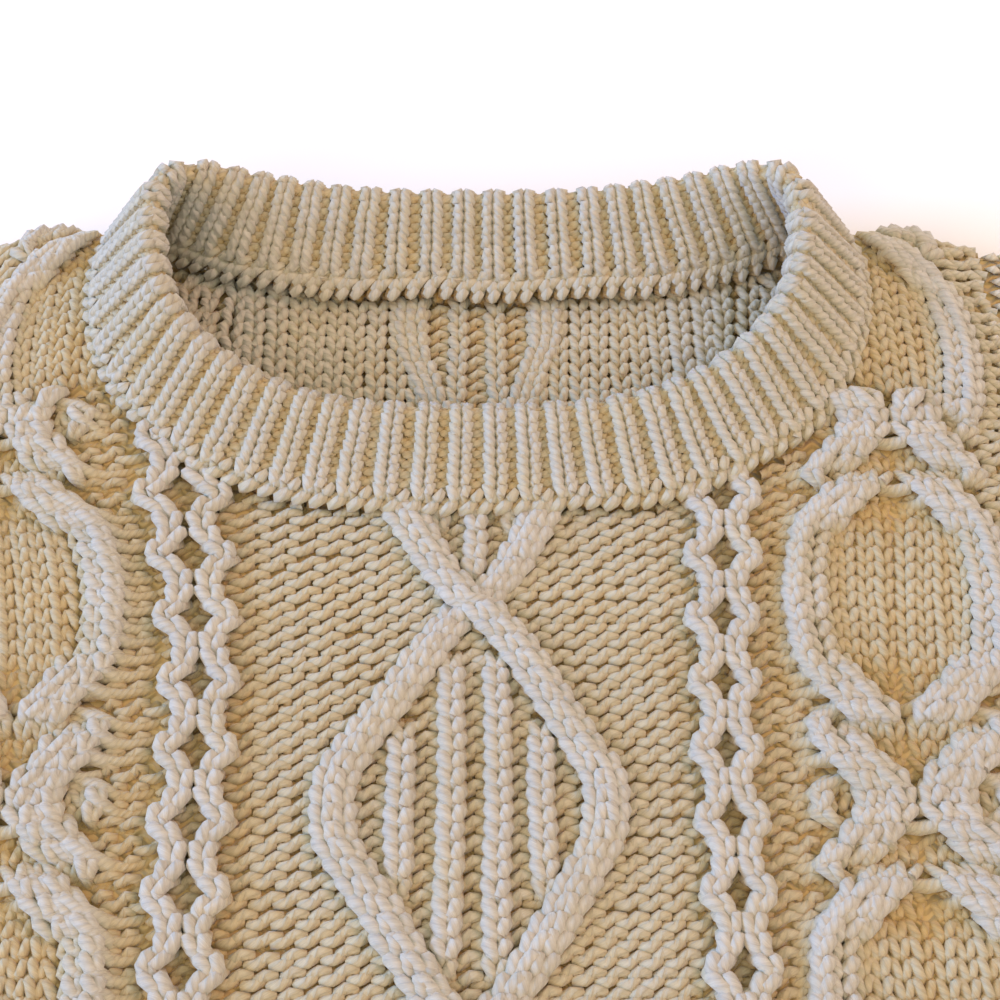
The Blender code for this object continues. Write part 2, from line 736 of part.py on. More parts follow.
def sleeve_place(row, share):
    """Plan point of a sleeve: row from the armhole, share of the width from the outer edge."""
    outer_x, outer_y, inner_x, inner_y = smooth_through(SLEEVE_ROWS, [row], False)[0] * MM
    point = np.array((outer_x + (inner_x - outer_x) * share, outer_y + (inner_y - outer_y) * share))
    first = np.array(SLEEVE_ROWS[0], float) * MM
    straight = first[:2] + (first[2:] - first[:2]) * share
    fade = max(0.0, 1 - row / CAP_ROWS) ** 2
    return point + (armhole_point(share) - straight) * fade


def sleeve_lift(row, share):
    """Puff of the sleeve's upper layer, none at its seam, and its creases."""
    ends = min(1.0, row / 1.5) * min(1.0, max(0.0, 10 - row) / 1.5)
    high = SLEEVE_PUFF * ends * math.sin(math.pi * share) ** 0.7
    for at_row, at_share, slant, half_row, half_share, height in SLEEVE_CREASES:
        across = share - at_share
        along = row - at_row - slant * across
        high += height * MM * ends * math.exp(-((along / half_row) ** 2) - (across / half_share) ** 2)
    return high


def tube_section(place, rise, width, shares, lower_shares, edge):
    """One closed line round a flattened tube, over the top from the outer edge and back underneath."""
    middle, upper_turn, upper_flat, lower_turn, lower_flat = edge
    corners = [(deep / width, high, puff) for deep, high, puff in (middle, upper_turn, upper_flat)]
    corners += [(share, upper_flat[1], 1) for share in shares]
    turned = (upper_flat, upper_turn, middle, lower_turn, lower_flat)
    corners += [(1 - deep / width, high, puff) for deep, high, puff in turned]
    corners += [(share, lower_flat[1], 0) for share in reversed(lower_shares)]
    corners += [(deep / width, high, puff) for deep, high, puff in (lower_flat, lower_turn)]
    return [(*place(share), high + rise(share) * puff) for share, high, puff in corners]


def tube(name, outer_lines, inner_lines, side):
    """A flattened tube with open ends, from its outer and inner lines round it at each row."""
    rows, around = len(outer_lines), len(outer_lines[0])
    sections = []
    for k in range(around):
        wall = [outer_lines[i][k] for i in range(rows)]
        wall += [inner_lines[i][k] for i in reversed(range(rows))]
        sections.append([(side * x, y, z) for x, y, z in wall])
    return swept(name, sections, True)


def sleeve(name, side):
    last = len(SLEEVE_ROWS) - 1
    corners = [float(share) for share in armhole_line()[1][1:-1]]
    shares = sorted(corners + [(corners[0] + corners[1]) / 2])
    outer_lines, inner_lines = [], []
    for i in range(SLEEVE_STEPS + 1):
        row = last * i / SLEEVE_STEPS
        edges = smooth_through(SLEEVE_ROWS, [row], False)[0] * MM
        width = math.dist(edges[:2], edges[2:])
        place = partial(sleeve_place, row)
        rise = partial(sleeve_lift, row)
        outer_lines.append(tube_section(place, rise, width, shares, corners, OUTER_EDGE))
        inner_lines.append(tube_section(place, rise, width, shares, corners, INNER_EDGE))
    return tube(name, outer_lines, inner_lines, side)


def cuff_place(start, span, share):
    return start + span * share


def cuff_rise(raised, share):
    """A cuff's ribs over its upper side: nothing at the corners that the table doesn't name."""
    return RIB_RAISE * raised.get(share, 0.0)


def cuff(name, side):
    """Ribbed tube at the sleeve's end, a little narrower than the sleeve."""
    end = np.array(SLEEVE_ROWS[-1], float) * MM
    outer_end, inner_end = end[:2], end[2:]
    across = (inner_end - outer_end) / math.dist(outer_end, inner_end)
    down = np.array((-across[1], across[0]))
    middle = (outer_end + inner_end) / 2
    ribbed = 1 - 2 * CUFF_SIDE
    raised = {
        CUFF_SIDE + ribbed * (rib + phase) / CUFF_RIBS: high
        for rib in range(CUFF_RIBS)
        for phase, high in CUFF_RIB
    }
    shares = list(raised)
    outer_lines, inner_lines = [], []
    for run, extra in CUFF_ROWS:
        width = CUFF_WIDTH + extra * MM
        start = middle - across * width / 2 + down * (SEAM_GAP + CUFF_LENGTH * run)
        place = partial(cuff_place, start, across * width)
        ribs = partial(cuff_rise, raised)
        plain = partial(cuff_rise, {})
        outer_lines.append(tube_section(place, ribs, width, shares, (0.5,), OUTER_EDGE))
        inner_lines.append(tube_section(place, plain, width, shares, (0.5,), INNER_EDGE))
    return tube(name, outer_lines, inner_lines, side)


def hem(name, low, stations):
    """Half of the hem rib: a flat bar through its stations, each a rib number and how far it is raised."""
    high_y = HEM_LINE - SEAM_GAP
    low_y = HEM_LINE - HEM_DEPTH
    sections = []
    for rib, raised in stations:
        x = -HEM_HALF + 2 * HEM_HALF * rib / HEM_RIBS
        top = low + WALL + raised
        section = [(x, low_y, low), (x, high_y, low), (x, high_y, top)]
        section += [(x, (high_y + low_y) / 2, top), (x, low_y, top - HEM_EDGE)]
        sections.append(section)
    return swept(name, sections, False)


def hem_ribs():
    """Stations of the upper hem rib, which rounds off at the body's sides."""
    ribs = [(rib + phase, RIB_RAISE * high) for rib in range(HEM_RIBS) for phase, high in HEM_RIB]
    return [(0.0, -HEM_DROP)] + ribs + [(HEM_RIBS, -HEM_DROP)]


def main():
    clear_scene()
    back()
    front()
    neckband()
    for name, side in (("left", 1), ("right", -1)):
        sleeve(f"sleeve_{name}", side)
        cuff(f"cuff_{name}", side)
    hem("hem_back", 0.0, [(HEM_RIBS * i / HEM_PLAIN, 0.0) for i in range(HEM_PLAIN + 1)])
    hem("hem_front", UPPER, hem_ribs())


main()
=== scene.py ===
"""Cable knit sweater, laid flat: its yarn, the cloth that carries it, and the stage around it.

Sizes are in millimetres, unless a comment says otherwise, and become metres where a mesh is made.
Plan places are measured from the middle of the front neck seam: x to the wearer's left, y to the neck.
A wale is a column of stitches, and a row is one stitch high. A fabric is a chart of wales over y, laid on a
surface. A course of yarn goes through all the kept wales of a row, loop by loop. Far from the neck, grains,
which are short lengths of yarn, stand for the loops.
"""

import math
from collections import namedtuple
from functools import partial

import bmesh
import bpy
import numpy as np
from bpy.props import FloatProperty, FloatVectorProperty, PointerProperty
from mathutils import Euler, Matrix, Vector, geometry


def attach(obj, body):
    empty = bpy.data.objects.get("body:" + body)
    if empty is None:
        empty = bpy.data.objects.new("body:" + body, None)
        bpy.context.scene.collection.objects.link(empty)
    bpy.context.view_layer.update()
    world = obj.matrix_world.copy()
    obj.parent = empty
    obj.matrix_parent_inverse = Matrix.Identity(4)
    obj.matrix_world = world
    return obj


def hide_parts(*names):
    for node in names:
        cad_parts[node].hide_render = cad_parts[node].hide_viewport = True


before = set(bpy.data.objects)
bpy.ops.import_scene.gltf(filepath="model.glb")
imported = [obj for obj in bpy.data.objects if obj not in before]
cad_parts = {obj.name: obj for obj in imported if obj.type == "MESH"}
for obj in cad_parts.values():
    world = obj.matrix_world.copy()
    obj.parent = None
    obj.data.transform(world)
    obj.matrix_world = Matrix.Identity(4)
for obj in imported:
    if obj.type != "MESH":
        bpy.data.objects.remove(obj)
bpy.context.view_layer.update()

bl_info = {
    "name": "Cable Knit Sweater",
    "version": (1, 0, 0),
    "blender": (4, 5, 0),
    "location": "View3D > Sidebar > Sweater",
    "description": "Knits a cabled sweater stitch by stitch and lays it flat on a pale floor",
    "category": "Object",
}

MM = 0.001
BODY = "root"

# ---- the garment's form, as in the solids ----
WALL = 4.5  # a knitted panel
LAYER_GAP = 0.8  # between the layers that lie on each other
UPPER = WALL + LAYER_GAP  # underside of the upper layer
ROW = 4.02  # height of a stitch
NECK_Y = 234.9  # from the garment's middle to the middle of the front neck seam
SEAM_GAP = 0.35
FLOOR_GAP = 0.05  # the yarn lies flat on the floor
HEM_LINE = -504.0  # where the hem ribs begin
HEM_DEPTH = 60.0
HEM_HALF = 243.0
FOLD_NEAR = (95.0, 81.0)  # x, y of the shoulder fold at the neck
FOLD_FAR = (205.0, 60.0)  # and at the armhole
FORWARD = 51.0  # from the fold to the shoulder seam in front of it
NECK_LIFT = 5.0  # the upper layer stands this high beside the neck
NECK_LIFT_AT = (100.0, 45.0)
NECK_LIFT_SPREAD = (35.0, 40.0)
SIDE_EDGE = ((244, -504), (255, -474), (259, -390), (259, -300), (259, -220), (258.5, -160))
ARMHOLE = ((258, -150), (238, -138), (220, -115), (209, -80), (205.5, -40), (205, 9), (205, 60))
# Soft creases: x, y, heading in degrees, half length, half width, height
CREASES = (
    (196, -190, 205, 70, 16, 4.0),
    (-205, -176, -18, 62, 14, 3.5),
    (150, -330, 168, 80, 20, 3.0),
    (-168, -388, 24, 66, 18, 3.4),
    (60, -452, 100, 60, 17, 2.6),
    (-226, -90, 64, 40, 12, 2.4),
)
# Half of the neckband from the front middle to the back middle: seam x, y, z, then top edge x, y, z
BAND_STATIONS = (
    (0, 0, 9.4, 0, 24.8, 14.5),
    (20, 0.4, 9.4, 18, 25.0, 14.7),
    (38, 1.8, 9.5, 33, 26.4, 15.2),
    (54, 5.5, 9.8, 46, 29.6, 16.4),
    (69, 12.5, 10.3, 58, 34.8, 18.5),
    (81, 22, 11.0, 67, 41.5, 21.5),
    (90, 33, 11.8, 73.5, 48.5, 25),
    (95.5, 46, 12.3, 77.5, 56, 28),
    (98, 59, 12.4, 79.5, 64, 30),
    (98, 71, 11.6, 80.5, 73, 31),
    (95.5, 79, 9.8, 80.5, 82, 31),
    (89, 81.8, 7.6, 76.5, 89, 29.5),
    (80, 79, 6.2, 68, 92, 26),
    (68, 73.5, 5.7, 58, 92.4, 22.5),
    (52, 69.3, 5.5, 46, 92, 19.5),
    (34, 67.2, 5.5, 31, 91.5, 17.5),
    (16, 66.5, 5.5, 15, 91.2, 16.7),
    (0, 66.4, 5.5, 0, 91.2, 16.5),
)
BAND_RIBS = 56

# ---- yarn ----
YARN = 1.32  # radius of the wool
LOOP_RISE = 0.82  # half height of a loop, in rows
LOOP_FLAT = 0.06  # how much flatter than round its head and foot are
LOOP_SQUARE = 0.15  # how long it stays in front or behind before it goes through
LOOP_LEAN = 0.28  # how far a loop's legs swing, as a share of the stitch
LOOP_DEEP = 1.15  # how far a loop stands before and behind the cloth's middle
PURL_LEAN = 0.8  # how far purl loops swing beside knit ones
PLUMP = 0.3  # how much fuller the yarn of a raised wale is
PLUMP_HIGH = 1.5  # height at which it is at its fullest, in mm
FACE = LOOP_DEEP + YARN  # from the cloth's face to the middle of its yarn
NARROWEST, WIDEST = 0.66, 1.2  # limits of a stitch's width, as shares of the gauge's

# ---- chart of the front: places of the wales from the middle ----
REPEAT_ROWS = 24
CENTRE_PITCH = 5.3  # from one wale to the next
CENTRE_WALES = 9  # on each side of the middle one
BESIDE_DEEP = 0.6  # how much deeper a purl wale beside a cable lies
BAND_PITCH = 4.6  # between the two wales of a diamond's band
DIAMOND_CROSS = -27.5  # y of the first cross
INNER_RIBS = 3  # wales up to this one knit up inside a diamond, the odd ones and the even ones in turn
NECK_SQUEEZE = (0.3, 30.0)  # the neck draws the middle in, as a share, and how far out
SPLAY_FADE = 40.0  # the cables splay towards the neck, and less and less below it
SPLAY = (59.5, 1.8, 1.34)  # x at which they splay in full, power of x, and the most that it comes to
SPLAY_END = (200.0, 110.0)  # x at which it has gone, and the width over which it goes
# How far out the cables on the wearer's right and left stand, and how much more at the neck
SPLAY_RIGHT, SPLAY_LEFT = (0.6, 11.0), (-3.2, 4.0)
WAVE_MIDDLE = 59.6  # the small cable
WAVE_NEAR = 2.75  # a strand of the wave at its closest to the middle
WAVE_FAR = 6.4  # and at its farthest
WAVE_SHARP = 2.2  # how much shorter the holes are than the stretches between them
WAVE_GROUND = (-6.0, 0.0, 5.2)  # purl wales under its strands, from its middle
WAVE_SUNK = 1.2  # how much deeper they lie
RIDER = 2.0  # the kind of a wale that rides over the ground, one stitch wide
RIDER_WIDE = 4.9
RIDER_LEAN = 0.23
RIDER_STEPS = 13
WAVE_REPEAT = 4 * ROW
WAVE_WIDE_AT = 1.2  # y of a hole's middle
GUTTER_EDGE = 68.7
GUTTER = (0.28, 0.76)  # places of the purl wales there, as shares of the gap to the side cable
SIDE_MIDDLE = 101.0  # the wide cable
INSIDE_SHIFT = 36.0  # the back's chart stands this much higher than the front's
INSIDE_NARROW = 0.6  # there the bands lie closer together
INSIDE_HIGH = -0.7  # and low, as they are seen from the wrong side
CLOSE_UP_LOW = -136.0  # loops are knitted whole down to this y
CLOSE_UP_WIDE = 137.0  # and out to this x; from FAR_WIDE on, there are short lengths of yarn
FAR_WIDE = 134.0
STRAP_CLOSE_UP = 136.0  # the same on the shoulder straps
STRAP_FAR = 133.0
STRAP_END = 203.0
STRAP_ROWS = 26
STRAP_AT = 112  # x at which their rows are counted
INSIDE_WIDE = 92.0  # half of what the neck shows of the back's inside
SIDE_TOP = -8.0  # y at which the wide cable's first repeat begins
SIDE_WALES = (-1, 0, 1)  # wales of a strand from its middle
SIDE_WALE = 4.3  # from one of them to the next
SIDE_NARROW = 0.12  # how much closer they lie in a cross
SIDE_RIM = 1.5  # the cable's edge in wales past its outer strand's middle
SIDE_LEAST = 14.0  # and the strand's least distance from the cable's middle
UNDER_ROWS = 1.5  # the strand behind changes place quickly, out of sight
UNDER_SHIFT = 0.75  # and stays near the cable's middle as long as it can, in rows
SIDE_BULGE = (4.1, 7.4, 3.2)  # between two crosses the outer strand bows outwards: row, half length, mm
SIDE_AWAY = (16.6, 6.7)  # middles of the outer and the inner strand from the cable's middle
# Crossings in one repeat: row, rows that it takes, whether the strand in front moves inwards
SIDE_CROSSES = ((10.4, 4.4, True), (14.4, 4.2, True), (18.7, 4.2, False), (21.8, 4.4, False))
OUTER_FIRST = 129.2  # the plain ground beyond the side cable
OUTER_CLEAR = 2.2  # from the cable's edge to its first wale
OUTER_PITCH = 5.5
OUTER_WALES = 24
# Heights over the ground
BAND_HIGH = 1.1
CROSS_HIGH = 0.95  # and by how much more, or less, where two bands cross
CROSS_ROWS = 2.4  # rows over which they do
RIB_HIGH = 1.5
WAVE_HIGH = 1.1
SIDE_HIGH = 1.8
SIDE_SUNK = 2.7  # how much deeper its middle lies
SIDE_HOLLOW = (22.5, 9.0)  # from this far out it sinks, and over this width
SIDE_CROSSING = (0.4, 0.8)  # in a cross, the strand in front rises and the one behind sinks
BAND_TIP = 0.5  # how steeply the edges of a band fall away
SIDE_TIP = 0.22
BAND_TRACK = ((0, 1.7, 10.4, 12), (0, 1.5, 5.7, 5.7))  # rows from a cross, wales from the middle

# ---- neckband, hems, cuffs and sleeves ----
SHOULDER_PLACES = (130, 168, 205)
BAND_CLEAR = 0.5
BAND_THICK = 4.3
FOLD_STATION = 10  # the band's station at the shoulder fold
BAND_HEIGHT = 52.0  # up the outer face, over the fold and down inside
BAND_ROWS = 19
BAND_CORE = 2.3  # from the band's middle to its yarn
BAND_SINK = 1.25  # how much deeper its purl wales lie
BAND_FACE = 2.15
BAND_CLOTH = (1.2, 0.7)  # how deep under the yarn its cloth lies, and how thick it is
EDGE_HIGH = -0.25
EDGE_IN = 0.6  # the courses that join the band at its foot lie this much closer
HEM_RIBS = 55
CUFF_RIBS = 11
CUFF_LENGTH = 60.0
CUFF_WIDTH = 94.0
CUFF_SIDE = 0.1  # share of the width without ribs at either side
# Share of the cuff's length, extra width
CUFF_FLARE = ((0.0, 4.0), (0.25, 1.5), (0.5, 0.0), (0.75, -1.0), (1.0, -2.0))
RIB_RISE = 1.3  # how much higher the ribs of hems and cuffs stand
RIB_SINK = 1.0  # and how much deeper the purl wales between them lie
TUBE_TOP = UPPER + WALL
SLEEVE_PUFF = 3.0
SLEEVE_WALES = 44
CAP_ROWS = 4.0  # rows over which a sleeve takes up the armhole's curve
EDGE_DROP = (2.2, 3.2, 9.0)  # how far a tube's edges fall, over what width, and where that ends
# Edges of a sleeve from the armhole to the cuff: outer x, y, inner x, y
SLEEVE_ROWS = (
    (205.4, 64.9, 258.4, -150.4),
    (240, 58, 274, -159),
    (276, 47, 286, -180),
    (311, 30, 297, -204),
    (343, 5, 313, -227),
    (371, -29, 331, -253),
    (405, -97, 355, -288),
    (439, -165, 380, -324),
    (473, -232, 404, -359),
    (507, -300, 429, -394),
    (541, -367, 453, -429),
)
# Creases across a sleeve: row, share of the width, slant, half length in rows, half width, height
SLEEVE_CREASES = (
    (2.6, 0.78, -1.5, 0.6, 0.22, 4.5),
    (4.4, 0.72, -1.0, 0.55, 0.24, 3.5),
    (6.6, 0.42, 0.8, 0.5, 0.3, 3.0),
    (8.7, 0.55, -0.6, 0.6, 0.28, 3.2),
)
# Section of a flattened tube at an edge: distance in, height, whether the puff lifts it
OUTER_EDGE = (
    (0.0, TUBE_TOP / 2, 0),
    (1.2, TUBE_TOP - 1.6, 0),
    (4.5, TUBE_TOP, 1),
    (1.2, 1.6, 0),
    (4.5, 0.0, 0),
)
INNER_EDGE = (
    (WALL, TUBE_TOP / 2, 0),
    (WALL + 0.3, UPPER - 0.1, 0),
    (WALL + 2, UPPER, 1),
    (WALL + 0.3, WALL + 0.1, 0),
    (WALL + 2, WALL, 0),
)
CLOTH_DROP = 2.7  # the carrying cloth's face lies this far below the garment's
PANEL_STEP = (13, 17)  # between corners of the front's and the back's cloth
EYE = (54.0, 28.0, 0.366)  # the camera's lens in mm, tilt in degrees and distance in metres
EYE_AIM = (0.0059, 0.2349, 0.010)
LAMP_AIM = (0.0, 0.2, 0.0)
FLOOR_HALF = 3.0


def linear(colour):
    """An sRGB hex colour as linear light."""
    values = [int(colour[i : i + 2], 16) / 255 for i in (1, 3, 5)]
    return tuple(v / 12.92 if v <= 0.04045 else ((v + 0.055) / 1.055) ** 2.4 for v in values)


def unit(ways):
    """These ways with a length of one."""
    return ways / np.linalg.norm(ways, axis=-1, keepdims=True)


def run_along(points):
    """How far along its line each point lies."""
    return np.concatenate([[0], np.cumsum(np.linalg.norm(np.diff(points, axis=0), axis=1))])


def linked(name, data):
    """A new object in the scene."""
    thing = bpy.data.objects.new(name, data)
    bpy.context.scene.collection.objects.link(thing)
    return thing


# ---- form of the lying cloth ----


def fold_y(x):
    """The shoulder fold's y at this x."""
    (near_x, near_y), (far_x, far_y) = FOLD_NEAR, FOLD_FAR
    share = (np.abs(x) - near_x) / (far_x - near_x)
    return near_y + (far_y - near_y) * share


def lift(x, y):
    """How far the upper layer stands above the layer below it."""
    away_x = (np.abs(x) - NECK_LIFT_AT[0]) / NECK_LIFT_SPREAD[0]
    away_y = (y - NECK_LIFT_AT[1]) / NECK_LIFT_SPREAD[1]
    high = NECK_LIFT * np.exp(-(away_x**2) - away_y**2)
    for middle_x, middle_y, heading, length, width, height in CREASES:
        along = (math.cos(math.radians(heading)), math.sin(math.radians(heading)))
        run = ((x - middle_x) * along[0] + (y - middle_y) * along[1]) / length
        side = ((x - middle_x) * along[1] - (y - middle_y) * along[0]) / width
        high = high + height * np.exp(-run * run - side * side)
    return high


def smooth_through(rows, shares, closed):
    """Points of a Catmull-Rom curve through the rows, at shares given as row numbers."""
    table = np.array(rows, float)
    shares = np.asarray(shares, float)
    whole = np.floor(shares).astype(int)
    t = (shares - whole)[:, None]
    near = whole[:, None] + np.array((-1, 0, 1, 2))
    near = np.mod(near, len(table)) if closed else np.clip(near, 0, len(table) - 1)
    a, b, c, d = (table[near[:, k]] for k in range(4))
    bend = 2 * b + (c - a) * t + (2 * a - 5 * b + 4 * c - d) * t**2
    return (bend + (3 * b - a - 3 * c + d) * t**3) / 2


def even_shares(rows, fractions, closed):
    """Row numbers at which a curve through the rows has run these fractions of its length."""
    last = len(rows) if closed else len(rows) - 1
    fine = np.linspace(0, last, 40 * last + 1)
    run = run_along(smooth_through(rows, fine, closed))
    return np.interp(np.array(fractions) * run[-1], run, fine)


def band_rows():
    """The whole neckband's stations, from the front middle round by +X."""
    right = np.array(BAND_STATIONS, float)
    left = right[-2:0:-1] * np.array((-1, 1, 1, -1, 1, 1))
    return np.concatenate([right, left])


def inside_by(outline, points):
    """How far each point lies inside the outline, negative outside it."""
    start = np.array(outline, float)
    edge = np.roll(start, -1, axis=0) - start
    points = np.array(points, float)
    away = points[:, None] - start[None]
    share = np.clip((away * edge).sum(2) / (edge * edge).sum(1), 0, 1)
    distance = np.linalg.norm(away - share[..., None] * edge, axis=2).min(1)
    end_y = start[:, 1] + edge[:, 1]
    rising = (start[:, 1] <= points[:, None, 1]) != (end_y <= points[:, None, 1])
    slope = edge[:, 0] / np.where(edge[:, 1] == 0, 1, edge[:, 1])
    crossing = start[:, 0] + (points[:, None, 1] - start[:, 1]) * slope
    odd = (rising & (points[:, None, 0] < crossing)).sum(1) % 2 == 1
    return np.where(odd, distance, -distance)


def neck_edge():
    """The band's seam: shares of the stations, seam points, outward ways and lean."""
    rows = band_rows()
    shares = np.arange(0, len(rows), 0.5)
    table = smooth_through(rows, shares, True)
    seam, top = table[:, :3], table[:, 3:]
    run = np.roll(seam, -1, axis=0) - np.roll(seam, 1, axis=0)
    outward = unit(np.stack([run[:, 1], -run[:, 0]], 1))
    rise = (top - seam)[:, 2] / np.linalg.norm(top - seam, axis=1)
    return shares, seam, outward, rise


def upper_neck_edge():
    """Right half of the upper layer's neck edge, from the front middle to the shoulder fold."""
    found = []
    for share, point, way, lean in zip(*neck_edge()):
        if share <= FOLD_STATION - 0.5:
            above = UPPER + WALL + lift(point[0], point[1]) - point[2]
            level = max(0.0, min(1.0, above / (BAND_THICK * math.sqrt(1 - lean * lean))))
            clear = BAND_CLEAR + BAND_THICK * lean * level
            found.append((point[0] + way[0] * clear, point[1] + way[1] * clear))
    return found


def lower_neck_edge():
    """Right half of the lower layer's neck edge, from beside the shoulder fold to the back middle."""
    shares, seam, outward, _ = neck_edge()
    return [
        (point[0] - way[0] * BAND_CLEAR, point[1] - way[1] * BAND_CLEAR)
        for share, point, way in zip(shares, seam, outward)
        if FOLD_STATION + 1.5 <= share <= len(BAND_STATIONS) - 1
    ]


def seam_y(x):
    """The shoulder seam's y on the upper layer."""
    return fold_y(x) - FORWARD


def neck_end():
    """The x at which the shoulder seam meets the band."""
    edge = upper_neck_edge()
    return float(np.interp(0.0, [y - seam_y(x) for x, y in edge], [x for x, _ in edge]))


def mirrored(half):
    """A whole outline from its right half, whose ends may lie on the middle line."""
    return list(half) + [(-x, y) for x, y in reversed(half) if abs(x) > 1e-6]


def front_outline():
    """From the neck middle to the shoulder seam, armhole, side and hem, and back up the other side."""
    neck = [p for p in upper_neck_edge() if p[1] < seam_y(p[0]) - 3]
    shoulder = [(x, seam_y(x) - SEAM_GAP) for x in (neck_end(), *SHOULDER_PLACES)]
    hem = [(x, HEM_LINE) for x in (180, 120, 60, 0)]
    return mirrored(neck + shoulder + list(reversed(ARMHOLE[:5])) + list(reversed(SIDE_EDGE)) + hem)


def bend_radius(x):
    """Radius of the back's middle layer where it turns over the shoulder."""
    return (WALL + LAYER_GAP + lift(x, fold_y(x))) / 2


def over_fold(x, y):
    """Distance along the back's cloth of a point on the layer that has come over the shoulder."""
    return 2 * fold_y(x) + math.pi * bend_radius(x) - y


def back_outline():
    """The back as a flat piece: y runs on over the fold, and the straps stand up beside the neck."""
    upper = [p for p in upper_neck_edge() if p[1] > seam_y(p[0]) + 3]
    corner = upper[-1][0]
    half = list(reversed(lower_neck_edge()))
    half.append((corner - 3, fold_y(corner) - 0.5))
    bend = math.pi * bend_radius(corner)
    half += [(corner, fold_y(corner) + bend * share) for share in (0.3, 0.65, 1.0)]
    half += [(p[0], over_fold(*p)) for p in reversed(upper)]
    half += [(x, over_fold(x, seam_y(x))) for x in (neck_end(), *SHOULDER_PLACES)]
    far = ARMHOLE[-1][0]
    bend = math.pi * bend_radius(far)
    half += [(far, over_fold(far, 35)), (far, fold_y(far) + bend)]
    half += [(far, fold_y(far) + bend * share) for share in (0.75, 0.5, 0.25, 0.0)]
    half += list(reversed(ARMHOLE[:6])) + list(reversed(SIDE_EDGE))
    half += [(x, HEM_LINE) for x in (160, 80, 0)]
    return mirrored(half)


def back_place(x, run, deep):
    """Points of the back's cloth: run up the cloth, deep mm below its outer face."""
    fold = fold_y(x)
    radius = bend_radius(x)
    turn = np.clip((run - fold) / radius, 0, math.pi)
    reach = radius + WALL / 2 - deep
    past = np.maximum(0, run - fold - math.pi * radius)
    y = np.where(run < fold, run, fold + reach * np.sin(turn) - past)
    rise = np.where(past > 0, lift(x, fold - past) - lift(x, fold), 0.0)
    z = WALL / 2 + radius - reach * np.cos(turn) + rise
    return np.stack([x, y, z], -1)


# ---- knitting ----


def smooth_step(t):
    """From 0 to 1 with level ends."""
    t = np.clip(t, 0, 1)
    return t * t * (3 - 2 * t)


def near_cross(rows):
    """Rows to the nearest diamond cross, from 0 to half a repeat."""
    turn = np.mod(rows, REPEAT_ROWS)
    return np.minimum(turn, REPEAT_ROWS - turn)


def band_out(rows):
    """How many wales a diamond's band stands from the middle."""
    soft = [np.interp(near_cross(rows + shift), *BAND_TRACK) for shift in (-0.7, 0.0, 0.7)]
    return sum(soft) / 3


def diamond_wales(rows):
    """Place, height, kind, order and tip of the centre panel's wales at these rows below the cross."""
    flat = 0 * rows
    out = band_out(rows)
    turn = np.floor(rows / REPEAT_ROWS)
    nearest = np.round(rows / REPEAT_ROWS)
    close = np.exp(-((near_cross(rows) / CROSS_ROWS) ** 2))
    found = []
    for band in (-1, 1):
        side = band * np.where(np.mod(turn, 2) == 0, 1, -1)
        above = band * np.where(np.mod(nearest, 2) == 0, -1, 1)
        for half in (-0.5, 0.5):
            place = side * out * CENTRE_PITCH + half * BAND_PITCH
            high = BAND_HIGH - above * CROSS_HIGH * close
            found.append((place, high, flat + RIDER, flat, -BAND_TIP * half + flat))
    for wale in range(-CENTRE_WALES, CENTRE_WALES + 1):
        within = out - abs(wale) - 1
        rib = (within > 0) & (abs(wale) <= INNER_RIBS) & (np.mod(turn + wale, 2) == 1)
        high = np.where(rib, RIB_HIGH * smooth_step(within), 0.0)
        high = high - (BESIDE_DEEP / 2 if abs(wale) == CENTRE_WALES else 0.0)
        found.append((wale * CENTRE_PITCH + flat, high, np.where(rib, 1.0, -1.0), wale + flat, flat))
    return found


def wave_wales(y, side):
    """The small honeycomb cable: two strands part round a hole and meet, over purl wales."""
    flat = 0 * y
    swing = ((1 + np.cos(2 * math.pi * (y - WAVE_WIDE_AT) / WAVE_REPEAT)) / 2) ** WAVE_SHARP
    found = [
        (side * (WAVE_MIDDLE + away) + flat, flat - WAVE_SUNK, flat - 1, side * (10 + i) + flat, flat)
        for i, away in enumerate(WAVE_GROUND)
    ]
    for pair in (-1, 1):
        away = WAVE_NEAR + (WAVE_FAR - WAVE_NEAR) * swing
        found.append((side * WAVE_MIDDLE + pair * away, WAVE_HIGH + flat, flat + RIDER, flat, flat))
    return found


def gutter_wales(y, side):
    """The sunken purl wales between the wave and the side cable."""
    flat = 0 * y
    gap = SIDE_MIDDLE - side_reach(y) - GUTTER_EDGE
    return [
        (side * (GUTTER_EDGE + gap * share), flat - BESIDE_DEEP, flat - 1, side * (14 + i) + flat, flat)
        for i, share in enumerate(GUTTER)
    ]


def side_strand(rows, first):
    """Whether a side cable's strand is outside (0) or inside (1) at these rows, and its part in a cross."""
    slot = np.full_like(rows, 0.0 if first else 1.0)
    high = np.zeros_like(rows)
    now = 0.0 if first else 1.0
    for at, length, inwards in SIDE_CROSSES:
        front = (now == 0.0) == inwards
        late = 0.0 if front else UNDER_SHIFT if inwards else -UNDER_SHIFT
        share = smooth_step((rows - at - late) / (length if front else UNDER_ROWS) + 0.5)
        slot = slot + share * (1 - 2 * now)
        high = high + (1.0 if front else -1.0) * np.exp(-(((rows - at) / (0.5 * length)) ** 4))
        now = 1 - now
    return slot, high


def side_away(y, first):
    """How far a side cable's strand stands from the cable's middle, its slot and its part in a cross."""
    rows = np.mod((SIDE_TOP - y) / ROW, REPEAT_ROWS)
    slot, cross = side_strand(rows, first)
    at, half, far = SIDE_BULGE
    off = np.mod(rows - at + REPEAT_ROWS / 2, REPEAT_ROWS) - REPEAT_ROWS / 2
    bulge = far * np.cos(math.pi / 2 * np.clip(off / half, -1, 1)) ** 2
    return np.interp(slot, (0, 1), SIDE_AWAY) + bulge * np.clip(1 - slot, 0, 1), slot, cross


